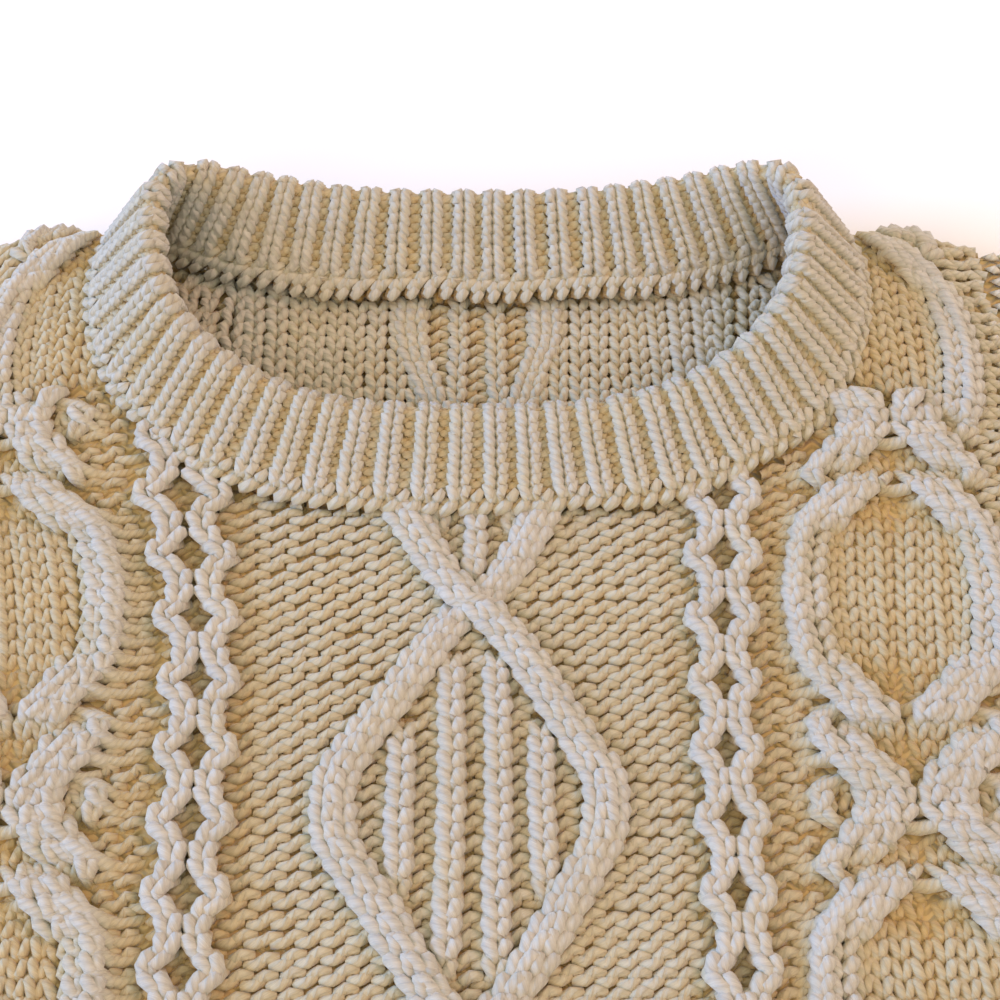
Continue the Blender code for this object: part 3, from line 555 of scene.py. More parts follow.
def side_reach(y):
    """How far the side cable reaches from its middle."""
    away = np.maximum(side_away(y, True)[0], side_away(y, False)[0])
    return np.maximum(away, SIDE_LEAST) + SIDE_RIM * SIDE_WALE


def side_wales(y, side):
    """The wide cable: in each half two strands cross inwards twice, then out again twice."""
    found = []
    for half_side in (-1, 1):
        for first in (True, False):
            away, slot, cross = side_away(y, first)
            for wale in SIDE_WALES:
                offset = away + wale * SIDE_WALE * (1 - SIDE_NARROW * np.abs(cross))
                sunk = SIDE_SUNK * smooth_step((SIDE_HOLLOW[0] - offset) / SIDE_HOLLOW[1])
                sunk = sunk * (1 - np.clip(cross, 0, 1))
                rise, fall = SIDE_CROSSING
                high = SIDE_HIGH + rise * cross.clip(0) - sunk - fall * (-cross).clip(0)
                order = side * (20 + half_side * (np.where(slot < 0.5, 5.0, 2.0) + wale))
                tip = -SIDE_TIP * wale * half_side * side + 0 * y
                place = side * (SIDE_MIDDLE + half_side * offset)
                found.append((place, high, np.ones_like(y), order, tip))
    return found


def outer_wales(y, side):
    """The plain ground beyond the side cable: its first four wales follow the cable's edge."""
    flat = 0 * y
    slack = OUTER_FIRST - OUTER_CLEAR - SIDE_MIDDLE - side_reach(y)
    return [
        (side * (first - slack * max(0.0, 1 - i / 4)), flat, flat - 1, side * (30 + i) + flat, flat)
        for i, first in enumerate(OUTER_FIRST + OUTER_PITCH * np.arange(OUTER_WALES))
    ]


def spread(x, y):
    """The cables splay a little towards the neck, where the band holds them."""
    near = np.exp(np.minimum(y, 6) / SPLAY_FADE)
    x = x * (1 - NECK_SQUEEZE[0] * near**2 * np.exp(-((x / NECK_SQUEEZE[1]) ** 2)))
    full, power, most = SPLAY
    reach = np.minimum((np.abs(x) / full) ** power, most)
    reach = reach * np.clip((SPLAY_END[0] - np.abs(x)) / SPLAY_END[1], 0, 1)
    right, left = (always + at_neck * near for always, at_neck in (SPLAY_RIGHT, SPLAY_LEFT))
    return x + np.where(x < 0, -right, left) * reach


def front_chart(y):
    """Place, height, kind (1 knit, -1 purl, RIDER), order and tip of every wale of a panel at each y."""
    wales = diamond_wales((DIAMOND_CROSS - y) / ROW)
    for side in (-1, 1):
        wales += wave_wales(y, side) + gutter_wales(y, side) + side_wales(y, side) + outer_wales(y, side)
    return [np.array([wale[k] for wale in wales]) for k in range(5)]


class Fabric:
    """A stretch of knitting: its wales in a table over y, and the surface that it lies on."""

    def __init__(self, low, high, chart, surface, step=0.5):
        self.y = np.arange(low - 12, high + 12, step)
        self.place, self.high, self.kind, self.order, self.tip = chart(self.y)
        self.surface = surface

    def at(self, table, wales, y):
        share = (y - self.y[0]) / (self.y[1] - self.y[0])
        low = np.clip(np.floor(share).astype(int), 0, len(self.y) - 2)
        part = share - low
        return table[wales, low] * (1 - part) + table[wales, low + 1] * part

    def row(self, y):
        """The wales in order at this row, with their places."""
        index = int(round((y - self.y[0]) / (self.y[1] - self.y[0])))
        wales = np.argsort(self.order[:, index], kind="stable")
        return wales, self.place[wales, index], self.kind[wales, index]

    def lengths(self, y, keep):
        """The wales, places and kinds in each length of yarn: kept neighbours, or one rider."""
        wales, places, kinds = self.row(y)
        kept = keep(places, y)
        ground = np.flatnonzero(kinds < RIDER)
        runs = [ground[run] for run in split_runs(kept[ground]) if len(run) > 1]
        runs += [[i] for i in np.flatnonzero(kept & (kinds >= RIDER))]
        return [(wales[run], places[run], kinds[run]) for run in runs]


def split_runs(keep):
    """Stretches of neighbours that are all kept, as lists of numbers."""
    runs, now = [], []
    for i, good in enumerate(keep):
        if good:
            now.append(i)
        elif now:
            runs.append(now)
            now = []
    return runs + ([now] if now else [])


def unevenness(x, y):
    """How far hand knitting wanders at a place, in mm."""
    return 0.32 * np.sin(0.13 * x + 0.061 * y) + 0.28 * np.sin(0.083 * y - 0.17 * x + 1.3)


def loop_line(fabric, y, wales, kinds, gauge, random, closed=False):
    """One course of yarn through these wales, as flat places and heights, and how full it is."""
    count = len(wales)
    wales = np.asarray(wales)
    t = -math.pi + 2 * math.pi * np.arange(gauge.steps) / gauge.steps
    middle = fabric.at(fabric.place, wales, np.full(count, y))
    if closed:
        wide = np.mod(np.roll(middle, -1) - np.roll(middle, 1), gauge.round) / 2
    elif count > 1:
        wide = np.gradient(middle)
    else:
        wide = np.full(1, gauge.wide)
    purl = (kinds < 0)[:, None]
    wide = np.clip(np.abs(wide), gauge.wide * NARROWEST, gauge.wide * WIDEST)[:, None]
    wide = wide * np.where(purl, 2 - gauge.ribbed, gauge.ribbed)
    rides = gauge.deep * (kinds - 1).clip(0)[:, None]
    jitter = random.normal(0, 1, (3, count, 1)) * gauge.uneven
    rise = gauge.rise * (1 + 0.2 * jitter[0])
    run = y + rise * (np.cos(t) - LOOP_FLAT * np.cos(3 * t)) + 0.6 * jitter[1]
    run = run + np.where(purl, gauge.slant * np.sin(2 * t), 0)
    run = run + unevenness(middle[:, None] + 40, y)
    lean = gauge.lean * wide * np.where(purl, PURL_LEAN, 1.0)
    across = wide / (2 * math.pi) * t + lean * np.sin(2 * t) + 0.5 * jitter[2]
    places = fabric.at(fabric.place, wales[:, None], run) + across + unevenness(middle[:, None], y)
    highs = fabric.at(fabric.high, wales[:, None], run)
    full = 1 + PLUMP * smooth_step((highs + rides) / PLUMP_HIGH)
    wave = (np.cos(2 * t) - LOOP_SQUARE * np.cos(6 * t)) / (1 - LOOP_SQUARE)
    highs = highs - gauge.deep * kinds[:, None] * wave
    highs = highs + fabric.at(fabric.tip, wales[:, None], run) * across
    points = np.stack([places, run, highs], -1)
    # Neighbouring loops share the point where one's foot becomes the next one's
    ends = points[:, 0] + np.stack([wide[:, 0], 0 * middle, 0 * middle], -1)
    before = np.roll(ends, 1, axis=0)
    if closed:
        before[0, 0] -= gauge.round
    shared = (before + points[:, 0]) / 2
    if not closed:
        shared[0] = points[0, 0]
    shift = (shared - points[:, 0])[:, None]
    fade = smooth_step(-t / (math.pi / 2) - 1)[None, :, None]
    points = points + shift * fade
    after = np.roll(shared, -1, axis=0)
    if closed:
        after[-1, 0] += gauge.round
    else:
        after[-1] = ends[-1]
    fade = smooth_step(t / (math.pi / 2) - 1)[None, :, None]
    points = points + (after - ends)[:, None] * fade
    line, full = points.reshape(-1, 3), full.reshape(-1)
    if not closed:
        line = np.concatenate([line, after[-1:]])
        full = np.append(full, full[-1])
    return line, full


def on_surface(surface, line):
    """Points at these flat places and heights, and the surface's outward way at each."""
    u, v, high = line[..., 0], line[..., 1], line[..., 2]
    here = surface(u, v)
    across = surface(u + 0.5, v) - here
    up = surface(u, v + 0.5) - here
    normal = unit(np.cross(across, up))
    return here + normal * high[..., None], normal


def sweep(points, normals, radius, sides, closed):
    """A round yarn along a line: its points, faces, and the run along the yarn at each ring."""
    ahead = np.roll(points, -1, axis=0) - np.roll(points, 1, axis=0)
    if not closed:
        ahead[0] = points[1] - points[0]
        ahead[-1] = points[-1] - points[-2]
    ahead = unit(ahead)
    side = unit(np.cross(ahead, normals))
    up = np.cross(side, ahead)
    turn = 2 * math.pi * np.arange(sides) / sides
    radius = np.broadcast_to(radius, len(points))
    ring = np.cos(turn)[None, :, None] * side[:, None] + np.sin(turn)[None, :, None] * up[:, None]
    rings = points[:, None] + ring * radius[:, None, None]
    count = len(points)
    last = count if closed else count - 1
    i, j = np.meshgrid(np.arange(last), np.arange(sides), indexing="ij")
    after, beside = (i + 1) % count, (j + 1) % sides
    faces = np.stack([i * sides + j, i * sides + beside, after * sides + beside, after * sides + j], -1)
    step = np.linalg.norm(np.roll(points, -1, axis=0) - points, axis=1)
    run = np.concatenate([[0], np.cumsum(step)])
    around = np.stack([j, j + 1, j + 1, j], -1) / sides
    along = np.stack([run[i], run[i], run[i + 1], run[i + 1]], -1)
    return rings.reshape(-1, 3), faces.reshape(-1, 4), around.reshape(-1, 4), along.reshape(-1, 4)


def wool_mesh(name, parts, material):
    """One object from yarn parts: points, faces, places round and along the yarn, painted shade, and tones
    with painted light.
    """
    points = np.concatenate([part["points"] for part in parts])
    shift = np.cumsum([0] + [len(part["points"]) for part in parts])
    faces = [part["faces"] + shift[i] for i, part in enumerate(parts)]
    sizes = np.concatenate([np.full(len(f), f.shape[1]) for f in faces])
    corners = np.concatenate([f.reshape(-1) for f in faces])
    mesh = bpy.data.meshes.new(name)
    mesh.vertices.add(len(points))
    points = points + (0, NECK_Y, 0)
    points[:, 2] = np.maximum(points[:, 2], FLOOR_GAP)
    mesh.vertices.foreach_set("co", (points * MM).astype(np.float32).reshape(-1))
    mesh.loops.add(len(corners))
    mesh.loops.foreach_set("vertex_index", corners.astype(np.int32))
    mesh.polygons.add(len(sizes))
    mesh.polygons.foreach_set("loop_start", (np.cumsum(sizes) - sizes).astype(np.int32))
    mesh.update(calc_edges=True)
    mesh.shade_smooth()
    if "bake" not in parts[0]:
        strips(parts)
    bake = np.concatenate([part["bake"].reshape(-1, 2) for part in parts])
    mesh.uv_layers.new(name="OFBake").data.foreach_set("uv", bake.astype(np.float32).reshape(-1))
    yarn = np.concatenate([np.stack([p["around"], p["along"]], -1).reshape(-1, 2) for p in parts])
    mesh.uv_layers.new(name="yarn").data.foreach_set("uv", yarn.astype(np.float32).reshape(-1))
    for label in ("hollow", "tone"):
        values = np.concatenate([part[label] for part in parts]).astype(np.float32)
        mesh.attributes.new(label, "FLOAT", "POINT").data.foreach_set("value", values)
    mesh.materials.append(material)
    return linked(name, mesh)


def strips(parts):
    """Gives the parts a baking map in which each has a strip of its own."""
    for i, part in enumerate(parts):
        around = part["around"]
        along = part["along"] - part["along"].min()
        reach = max(1e-6, float(along.max()))
        low = (i + 0.04) / len(parts)
        part["bake"] = np.stack([0.001 + 0.998 * along / reach, low + around * 0.92 / len(parts)], -1)


def joined(parts):
    """Several grain parts as one, with a baking map shared out between them."""
    shift = np.cumsum([0] + [len(part["points"]) for part in parts])
    whole = {key: np.concatenate([part[key] for part in parts]) for key in parts[0] if key != "faces"}
    whole["faces"] = np.concatenate([part["faces"] + shift[i] for i, part in enumerate(parts)])
    whole["bake"] = cell_map(len(whole["faces"]) // 2)
    return whole


def cell_map(cells):
    """A baking map with two triangles in each of a square of cells."""
    grid = math.ceil(math.sqrt(cells))
    cell = np.arange(cells)
    low = np.stack([cell % grid, cell // grid], -1) / grid
    corner = ((0.06, 0.06), (0.84, 0.06), (0.06, 0.84), (0.94, 0.16), (0.94, 0.94), (0.16, 0.94))
    return (low[:, None] + np.array(corner) / grid).reshape(-1, 2)


def yarn_part(course, fabric, gauge, random, closed=False):
    """A course of yarn as a part of a mesh."""
    line, full = course
    points, normals = on_surface(fabric.surface, line)
    count = len(points)
    thick = gauge.yarn * full * (1 + 0.04 * np.sin(np.arange(count) * 0.37 + random.uniform(0, 6)))
    rings, faces, around, along = sweep(points, normals, thick, gauge.sides, closed)
    # Painted shade: yarn lying lower below the face is painted darker, and each yarn's underside darker than
    # its top
    hollow = np.repeat(np.clip((gauge.face - line[:, 2]) / gauge.shade, 0, 1), gauge.sides)
    toward = np.tile(np.sin(2 * math.pi * np.arange(gauge.sides) / gauge.sides), count)
    hollow = np.clip(hollow + 0.18 - 0.18 * toward, 0, 1)
    tone = np.full(len(rings), random.uniform(0, 1))
    along = along + random.uniform(0, 40)
    part = {"points": rings, "faces": faces, "around": around, "along": along}
    return {**part, "hollow": hollow, "tone": tone}


def courses(fabric, rows, keep, gauge, seed):
    """Yarn for every stretch of every row in which keep(places, y) is true."""
    random = np.random.default_rng(seed)
    found = []
    for y in rows:
        for wales, _, kinds in fabric.lengths(y, keep):
            rider = gauge._replace(wide=RIDER_WIDE, lean=RIDER_LEAN, steps=RIDER_STEPS)
            knitted = gauge if kinds[0] < RIDER else rider
            course = loop_line(fabric, y, wales, kinds, knitted, random)
            found.append(yarn_part(course, fabric, knitted, random))
    return found


# A grain has six corners: its two ends, its two sides, its top and its underside
GRAIN_FACES = ((0, 2, 4), (2, 1, 4), (1, 3, 4), (3, 0, 4), (2, 0, 5), (1, 2, 5), (3, 1, 5), (0, 3, 5))
GRAIN_PAINTED_SHADE = (0.28, 0.28, 0.1, 0.1, -0.1, 0.5)  # painted shade of each corner: the ends darker than the sides, the top lightest, the underside darkest
KNIT_GRAIN = (0.24, 0.12, 0.86)  # place, lean and half length of a knit stitch's leg, as shares
PURL_GRAIN = (0.25, 0.22, 0.42)  # place across and up and half length of a purl stitch's arc, as shares
GRAIN_RISE = 0.8  # height of its middle as a share of a loop's
GRAIN_ENDS = -0.7  # its ends lie this much lower, in mm
GRAIN_TONE_AND_PAINTED_LIGHT = (3, 4)  # painted light: grains are coloured paler than whole loops to make up for the darker shading of their faceted sides; a random tone within
GRAIN_PLUMP = 1.12


def grains(fabric, rows, keep, gauge, seed):
    """Two short lengths of yarn for each stitch: the legs of a knit one, the arcs of a purl one."""
    random = np.random.default_rng(seed)
    centres, halves = [], []
    for y in rows:
        for wales, where, kinds in fabric.lengths(y, keep):
            wide = np.gradient(where) if len(where) > 1 else np.full(1, gauge.wide)
            wide = np.clip(np.abs(wide), gauge.wide * NARROWEST, gauge.wide * WIDEST)
            high = fabric.at(fabric.high, wales, np.full(len(where), y))
            high = high + gauge.deep * (kinds - 1).clip(0)
            ahead = fabric.at(fabric.place, wales, np.full(len(where), y + 1.0)) - where
            flat = 0 * where
            knit = kinds > 0
            jitter = random.normal(0, gauge.uneven, (2, len(where)))
            for leg in (-1, 1):
                aside = np.where(knit, leg * KNIT_GRAIN[0] * wide, (leg + 1) * PURL_GRAIN[0] * wide)
                middle_x = where + jitter[0] + aside
                middle_y = y + jitter[1] + np.where(knit, flat, -leg * PURL_GRAIN[1] * gauge.rise)
                middle_z = high + gauge.deep * GRAIN_RISE
                reach_y = np.where(knit, gauge.rise * KNIT_GRAIN[2], gauge.slant)
                leaning = leg * KNIT_GRAIN[1] * wide + ahead * reach_y
                reach_x = np.where(knit, leaning, PURL_GRAIN[2] * wide)
                centres.append(np.stack([middle_x, middle_y, middle_z], -1))
                halves.append(np.stack([reach_x, reach_y], -1))
    if not centres:
        return []
    centres, halves = np.concatenate(centres), np.concatenate(halves)
    here, normals = on_surface(fabric.surface, centres)
    lower = GRAIN_ENDS + 0 * halves[:, :1]
    tips = [centres + np.concatenate([sign * halves, lower], -1) for sign in (1, -1)]
    (first, _), (last, _) = (on_surface(fabric.surface, tip) for tip in tips)
    ahead = first - last
    side = np.cross(ahead, normals)
    side *= gauge.yarn * GRAIN_PLUMP / np.linalg.norm(side, axis=1)[:, None]
    up = normals * gauge.yarn * GRAIN_PLUMP
    points = np.stack([first, last, here + side, here - side, here + up, here - up], 1)
    count = len(points)
    faces = (np.array(GRAIN_FACES) + 6 * np.arange(count)[:, None, None]).reshape(-1, 3)
    round_places = np.array(((0.25, 0, 0.25), (0, 0.25, 0.25), (0.25, 0.5, 0.25), (0.5, 0.25, 0.25)) * 2)
    along_places = np.array(((1, 0, 0), (0, -1, 0), (-1, 0, 0), (0, 1, 0)) * 2) * 3.0 + 3.0
    # Painted shade: lower grains are painted darker, and each corner more or less by which way it faces
    depth = np.clip((gauge.face - gauge.deep - centres[:, 2]) / gauge.shade, 0, 1)
    hollow = np.tile(GRAIN_PAINTED_SHADE, count) + np.repeat(depth, 6)
    return [
        {
            "points": points.reshape(-1, 3),
            "faces": faces,
            "around": np.tile(round_places, (count, 1)),
            "along": np.tile(along_places, (count, 1)),
            "bake": cell_map(count * 4),
            "hollow": np.clip(hollow, 0, 1),
            "tone": np.repeat(random.uniform(*GRAIN_TONE_AND_PAINTED_LIGHT, count), 6),
        }
    ]


# A loop's size and unevenness in mm, its yarn's radius, rings in a loop and sides, the face from which
# painted shade deepens and the depth at which it is darkest, how much wider knit wales are than purl ones,
# and the way round
Gauge = namedtuple("Gauge", "wide rise lean deep slant uneven yarn steps sides face shade ribbed round")

BODY_GAUGE = Gauge(
    wide=CENTRE_PITCH, rise=LOOP_RISE * ROW, lean=LOOP_LEAN, deep=LOOP_DEEP, slant=0.55, uneven=0.3,
    yarn=YARN, steps=10, sides=6, face=2.5, shade=5.0, ribbed=1.0, round=0.0,
)
BAND_GAUGE = Gauge(
    wide=4.4, rise=2.45, lean=0.2, deep=0.9, slant=0.15, uneven=0.24,
    yarn=1.52, steps=9, sides=5, face=1.1, shade=3.4, ribbed=1.28, round=0.0,
)
GRAIN_GAUGE = BODY_GAUGE._replace(uneven=0.2)
RIB_GAUGE = BODY_GAUGE._replace(wide=4.4, ribbed=1.2)


# ---- surfaces on which the yarn's middle lies ----


def front_surface(u, v):
    """The front panel, with its cables splayed towards the neck."""
    x = spread(u, v)
    return np.stack([x, v, UPPER + WALL - FACE + lift(x, v)], -1)


def level_surface(face):
    """Plain cloth whose face lies at this height: the back's inside, and the front hem."""
    return lambda u, v: np.stack([u, v, face - FACE + 0 * u], -1)


def strap_surface(u, v):
    """The shoulder straps: v runs up from the seam over the fold."""
    return back_place(u, -v, FACE)


class BandSurface:
    """The neckband: u runs round it, v up its outer face, over the fold and down its inner face."""

    def __init__(self):
        rows = band_rows()
        count = BAND_RIBS * 8
        shares = even_shares(rows[:, :3], np.arange(count) / count, True)
        table = smooth_through(rows, shares, True)
        self.foot, self.up = table[:, :3], table[:, 3:] - table[:, :3]
        run = np.roll(table, -1, axis=0) - np.roll(table, 1, axis=0)
        self.out = unit(np.cross(run[:, :3] + run[:, 3:], self.up))
        ring = np.linalg.norm(np.roll(self.foot, -1, axis=0) - self.foot, axis=1)
        self.round = float(ring.sum())

    def look(self, table, u):
        share = np.mod(u / self.round, 1.0) * len(table)
        low = np.floor(share).astype(int) % len(table)
        part = (share - np.floor(share))[..., None]
        return table[low] * (1 - part) + table[(low + 1) % len(table)] * part

    def __call__(self, u, v):
        foot, up, out = (self.look(table, u) for table in (self.foot, self.up, self.out))
        height = np.linalg.norm(up, axis=-1)
        up = up / height[..., None]
        straight = height - BAND_FACE - BAND_CORE + 0.2
        whole = 2 * straight + math.pi * BAND_CORE
        run = v / BAND_HEIGHT * whole
        turn = np.clip((run - straight) / BAND_CORE, 0, math.pi)
        inside = np.maximum(0, run - straight - math.pi * BAND_CORE)
        rise = np.minimum(run, straight) - inside + BAND_CORE * np.sin(turn)
        return foot + up * rise[..., None] + out * (BAND_CORE * np.cos(turn))[..., None]


def edge_drop(width, u):
    """How far a tube's upper side has come down at this place across its width."""
    deep, soft, flat = EDGE_DROP
    return deep * np.exp(-((np.clip(width / 2 - np.abs(u), 0, flat) / soft) ** 2))


class SleeveSurface:
    """A sleeve's upper side: u runs across it from its middle line, v up to the armhole."""

    def __init__(self, side):
        self.side = side
        rows = np.linspace(0, len(SLEEVE_ROWS) - 1, 101)
        edges = smooth_through(SLEEVE_ROWS, rows, False)
        middle = (edges[:, :2] + edges[:, 2:]) / 2
        self.rows = rows
        self.run = run_along(middle)
        self.wide = np.linalg.norm(edges[:, :2] - edges[:, 2:], axis=1)

    def width(self, v):
        return np.interp(-v, self.run, self.wide)

    def __call__(self, u, v):
        row = np.interp(-v, self.run, self.rows)
        share = 0.5 - self.side * u / self.width(v)
        x, y = sleeve_place(row, np.clip(share, 0, 1))
        z = TUBE_TOP - FACE + sleeve_lift(row, share) - edge_drop(self.width(v), u)
        return np.stack([self.side * x, y, z], -1)


class CuffSurface:
    """A cuff's upper side: u runs across it, v up from its end."""

    def __init__(self, side):
        self.side = side
        end = np.array(SLEEVE_ROWS[-1], float)
        self.across = (end[2:] - end[:2]) / math.dist(end[:2], end[2:])
        self.down = np.array((-self.across[1], self.across[0]))
        self.start = (end[:2] + end[2:]) / 2

    def place(self, run, width, share):
        """Plan x and y at this share of the cuff's length and of this width."""
        start = self.start - self.across * width / 2
        start = start + self.down * (SEAM_GAP + CUFF_LENGTH * run)
        return start + self.across * width * share

    def __call__(self, u, v):
        plan = self.start - self.side * u[..., None] * self.across - v[..., None] * self.down
        z = TUBE_TOP - FACE - edge_drop(CUFF_WIDTH, u)
        return np.stack([self.side * plan[..., 0], plan[..., 1], z], -1)


def armhole_line():
    """The armhole from the shoulder to the underarm, and each corner's share of its length."""
    line = np.array(ARMHOLE[::-1], float)
    line[0] = SLEEVE_ROWS[0][:2]
    run = run_along(line)
    return line, run / run[-1]


def sleeve_place(row, share):
    """Plan x and y of a sleeve: row from the armhole, share of the width from the outer edge."""
    row, share = np.broadcast_arrays(np.asarray(row, float), np.asarray(share, float))
    edges = smooth_through(SLEEVE_ROWS, row.reshape(-1), False).reshape(*row.shape, 4)
    line, run = armhole_line()
    first = np.array(SLEEVE_ROWS[0], float)
    fade = np.maximum(0, 1 - row / CAP_ROWS) ** 2
    found = []
    for k, gap in ((0, SEAM_GAP), (1, SEAM_GAP * share)):
        point = edges[..., k] + (edges[..., k + 2] - edges[..., k]) * share
        straight = first[k] + (first[k + 2] - first[k]) * share
        found.append(point + (np.interp(share, run, line[:, k]) + gap - straight) * fade)
    return found


def sleeve_lift(row, share):
    """Puff of the sleeve's upper layer, none at its seam, and its creases."""
    ends = np.clip(row / 1.5, 0, 1) * np.clip((10 - row) / 1.5, 0, 1)
    high = SLEEVE_PUFF * ends * np.sin(math.pi * np.clip(share, 0, 1)) ** 0.7
    for at_row, at_share, slant, half_row, half_share, height in SLEEVE_CREASES:
        across = share - at_share
        along = row - at_row - slant * across
        high = high + height * ends * np.exp(-((along / half_row) ** 2) - (across / half_share) ** 2)
    return high


# ---- charts of the plainer pieces ----


def steady_chart(places, highs, kinds):
    """Wales that run straight up: their places, heights and sides, in order."""

    def chart(y):
        place, high, kind = (np.asarray(row, float)[:, None] + 0 * y for row in (places, highs, kinds))
        return place, high, kind, np.arange(len(places))[:, None] + 0 * y, 0 * place

    return chart


def ribs_chart(pitch, knit_at, purl_at, count, start, sink, rise=0.0):
    """Knit-one purl-one rib."""
    places = [start + (rib + at) * pitch for rib in range(count) for at in (purl_at, knit_at)]
    return steady_chart(places, [rise - sink, rise] * count, [-1.0, 1.0] * count)


def purl_chart(places, high=0.0):
    """Reverse stocking stitch."""
    return steady_chart(places, [high] * len(places), [-1.0] * len(places))


def inside_chart(y):
    """The front's wrong side: what is knitted becomes purled, and only the diamond's bands stand out."""
    place, high, kind, order, tip = front_chart(y - INSIDE_SHIFT)
    rides = kind >= RIDER
    kept = ~rides[:, 0] | (np.abs(place[:, 0]) < WAVE_MIDDLE / 2)
    place = np.where(rides, INSIDE_NARROW * place, place)
    high = np.where(rides, INSIDE_HIGH, np.clip(-0.45 * high, -0.5, 0.5))
    kind = np.where(rides, kind, -kind)
    return place[kept], high[kept], kind[kept], order[kept], -0.3 * tip[kept]


# ---- thin cloth that carries the yarn ----


def filled(outline, spots, margin):
    """Corners and triangles that fill the outline, with a corner at each spot well inside it."""
    good = [tuple(s) for s, depth in zip(spots, inside_by(outline, spots)) if depth > margin]
    corners = [Vector(p) for p in list(outline) + good]
    loop = list(range(len(outline)))
    made = geometry.delaunay_2d_cdt(corners, [], [loop], 1, 0.02)
    points, faces, origins = made[0], made[2], made[3]
    rim = {source: i for i, sources in enumerate(origins) for source in sources if source < len(outline)}
    return np.array([tuple(p) for p in points]), faces, [rim[i] for i in loop]


def grid_spots(low, high, step):
    """Places in staggered rows."""
    across = np.arange(low[0], high[0], step)
    up = np.arange(low[1], high[1], step)
    x, y = np.meshgrid(across, up)
    x = x + 0.5 * step * (np.arange(len(up)) % 2)[:, None]
    return [tuple(spot) for spot in np.stack([x, y], -1).reshape(-1, 2)]


def cloth_object(name, points, faces, material):
    """A piece of cloth in the scene, with all its faces turned outwards."""
    mesh = bpy.data.meshes.new(name)
    mesh.from_pydata(((np.array(points) + (0, NECK_Y, 0)) * MM).tolist(), [], faces)
    work = bmesh.new()
    work.from_mesh(mesh)
    bmesh.ops.recalc_face_normals(work, faces=work.faces)
    work.to_mesh(mesh)
    work.free()
    mesh.shade_smooth()
    mesh.set_sharp_from_angle(angle=math.radians(60))
    mesh.materials.append(material)
    return linked(name, mesh)


def cloth_panel(name, outline, spots, outer, inner, material):
    """A thin panel of cloth over a plan outline, between two surfaces."""
    points, faces, rim = filled(outline, spots, 3.0)
    shift = len(points)
    both = np.concatenate([outer(points[:, 0], points[:, 1]), inner(points[:, 0], points[:, 1])])
    under = [tuple(shift + i for i in reversed(face)) for face in faces]
    faces = [tuple(face) for face in faces] + under
    for here, there in zip(rim, rim[1:] + rim[:1]):
        faces.append((here, shift + here, shift + there, there))
    return cloth_object(name, both, faces, material)


def swept_cloth(name, sections, closed, material):
    """Cloth through closed sections of the same number of points, joined end to end or capped."""
    count = len(sections[0])
    points = np.concatenate(sections)
    faces = []
    for i in range(len(sections) if closed else len(sections) - 1):
        here, there = i * count, (i + 1) % len(sections) * count
        for j in range(count):
            k = (j + 1) % count
            faces.append((here + j, here + k, there + k, there + j))
    if not closed:
        last = (len(sections) - 1) * count
        faces += [tuple(range(count)), tuple(range(last, last + count))]
    return cloth_object(name, points, faces, material)


def tube_section(place, rise, width, drop, edge):
    """One closed line round a flattened tube, over the top from the outer edge and back underneath."""
    middle, upper_turn, upper_flat, lower_turn, lower_flat = edge
    shares = np.linspace(0.12, 0.88, 9)
    corners = [(deep / width, high, puff) for deep, high, puff in (middle, upper_turn, upper_flat)]
    corners += [(share, upper_flat[1], 1) for share in shares]
    turned = (upper_flat, upper_turn, middle, lower_turn, lower_flat)
    corners += [(1 - deep / width, high, puff) for deep, high, puff in turned]
    corners += [(share, lower_flat[1], 0) for share in shares[::-1]]
    corners += [(deep / width, high, puff) for deep, high, puff in (lower_flat, lower_turn)]
    found = []
    for share, high, puff in corners:
        x, y = place(share)
        found.append((x, y, high - (drop if high > TUBE_TOP / 2 else 0) + puff * rise(share)))
    return np.array(found)


def tube_cloth(name, side, stations, material):
    """A flattened open tube with a real wall, from the place, rise and width at each station."""
    outer = [tube_section(*station, CLOTH_DROP, OUTER_EDGE) for station in stations]
    inner = [tube_section(*station, 0, INNER_EDGE) for station in reversed(stations)]
    lines = np.array(outer + inner).transpose(1, 0, 2) * (side, 1, 1)
    return swept_cloth(name, lines, True, material)


def polygon_area(outline):
    """The area inside a plan outline, in square mm."""
    x, y = np.array(outline, float).T
    return abs(float(np.sum(x * np.roll(y, -1) - y * np.roll(x, -1)))) / 2


def declare_cloth(cloth, node, parts):
    """Puts a piece of cloth and the yarn on it in place of its solid."""
    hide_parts(node)
    for piece in (cloth, *parts):
        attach(piece, BODY)


# ---- materials ----


def add_node(tree, kind, inputs=None, stops=(), **settings):
    """Adds a node and returns its outputs.

    Settings are its properties, inputs are values or sockets to link, and stops are places and colours of
    a ramp.
    """
    node = tree.nodes.new(f"ShaderNode{kind}")
    for name, value in settings.items():
        setattr(node, name, value)
    for key, value in (inputs or {}).items():
        if isinstance(value, bpy.types.NodeSocket):
            tree.links.new(value, node.inputs[key])
        else:
            node.inputs[key].default_value = value
    if stops:
        ramp = node.color_ramp.elements
        while len(ramp) < len(stops):
            ramp.new(0.5)
        for stop, (place, colour) in zip(ramp, stops):
            stop.position = place
            stop.color = (*colour, 1.0)
    return node.outputs


def new_material(name):
    """A material with only its Principled shader, and add_node for its tree."""
    material = bpy.data.materials.new(name)
    material.use_nodes = True
    return material, partial(add_node, material.node_tree)


def wool_colours(settings, body_at, hollow_at):
    """A ramp's stops from raised wool to deep hollows: a painted highlight, the wool's colour, then painted
    shade.
    """
    colours = (settings.wool_light, settings.wool_body, settings.wool_hollow, settings.wool_deep)
    return tuple(zip((0.0, body_at, hollow_at, 1.0), colours))


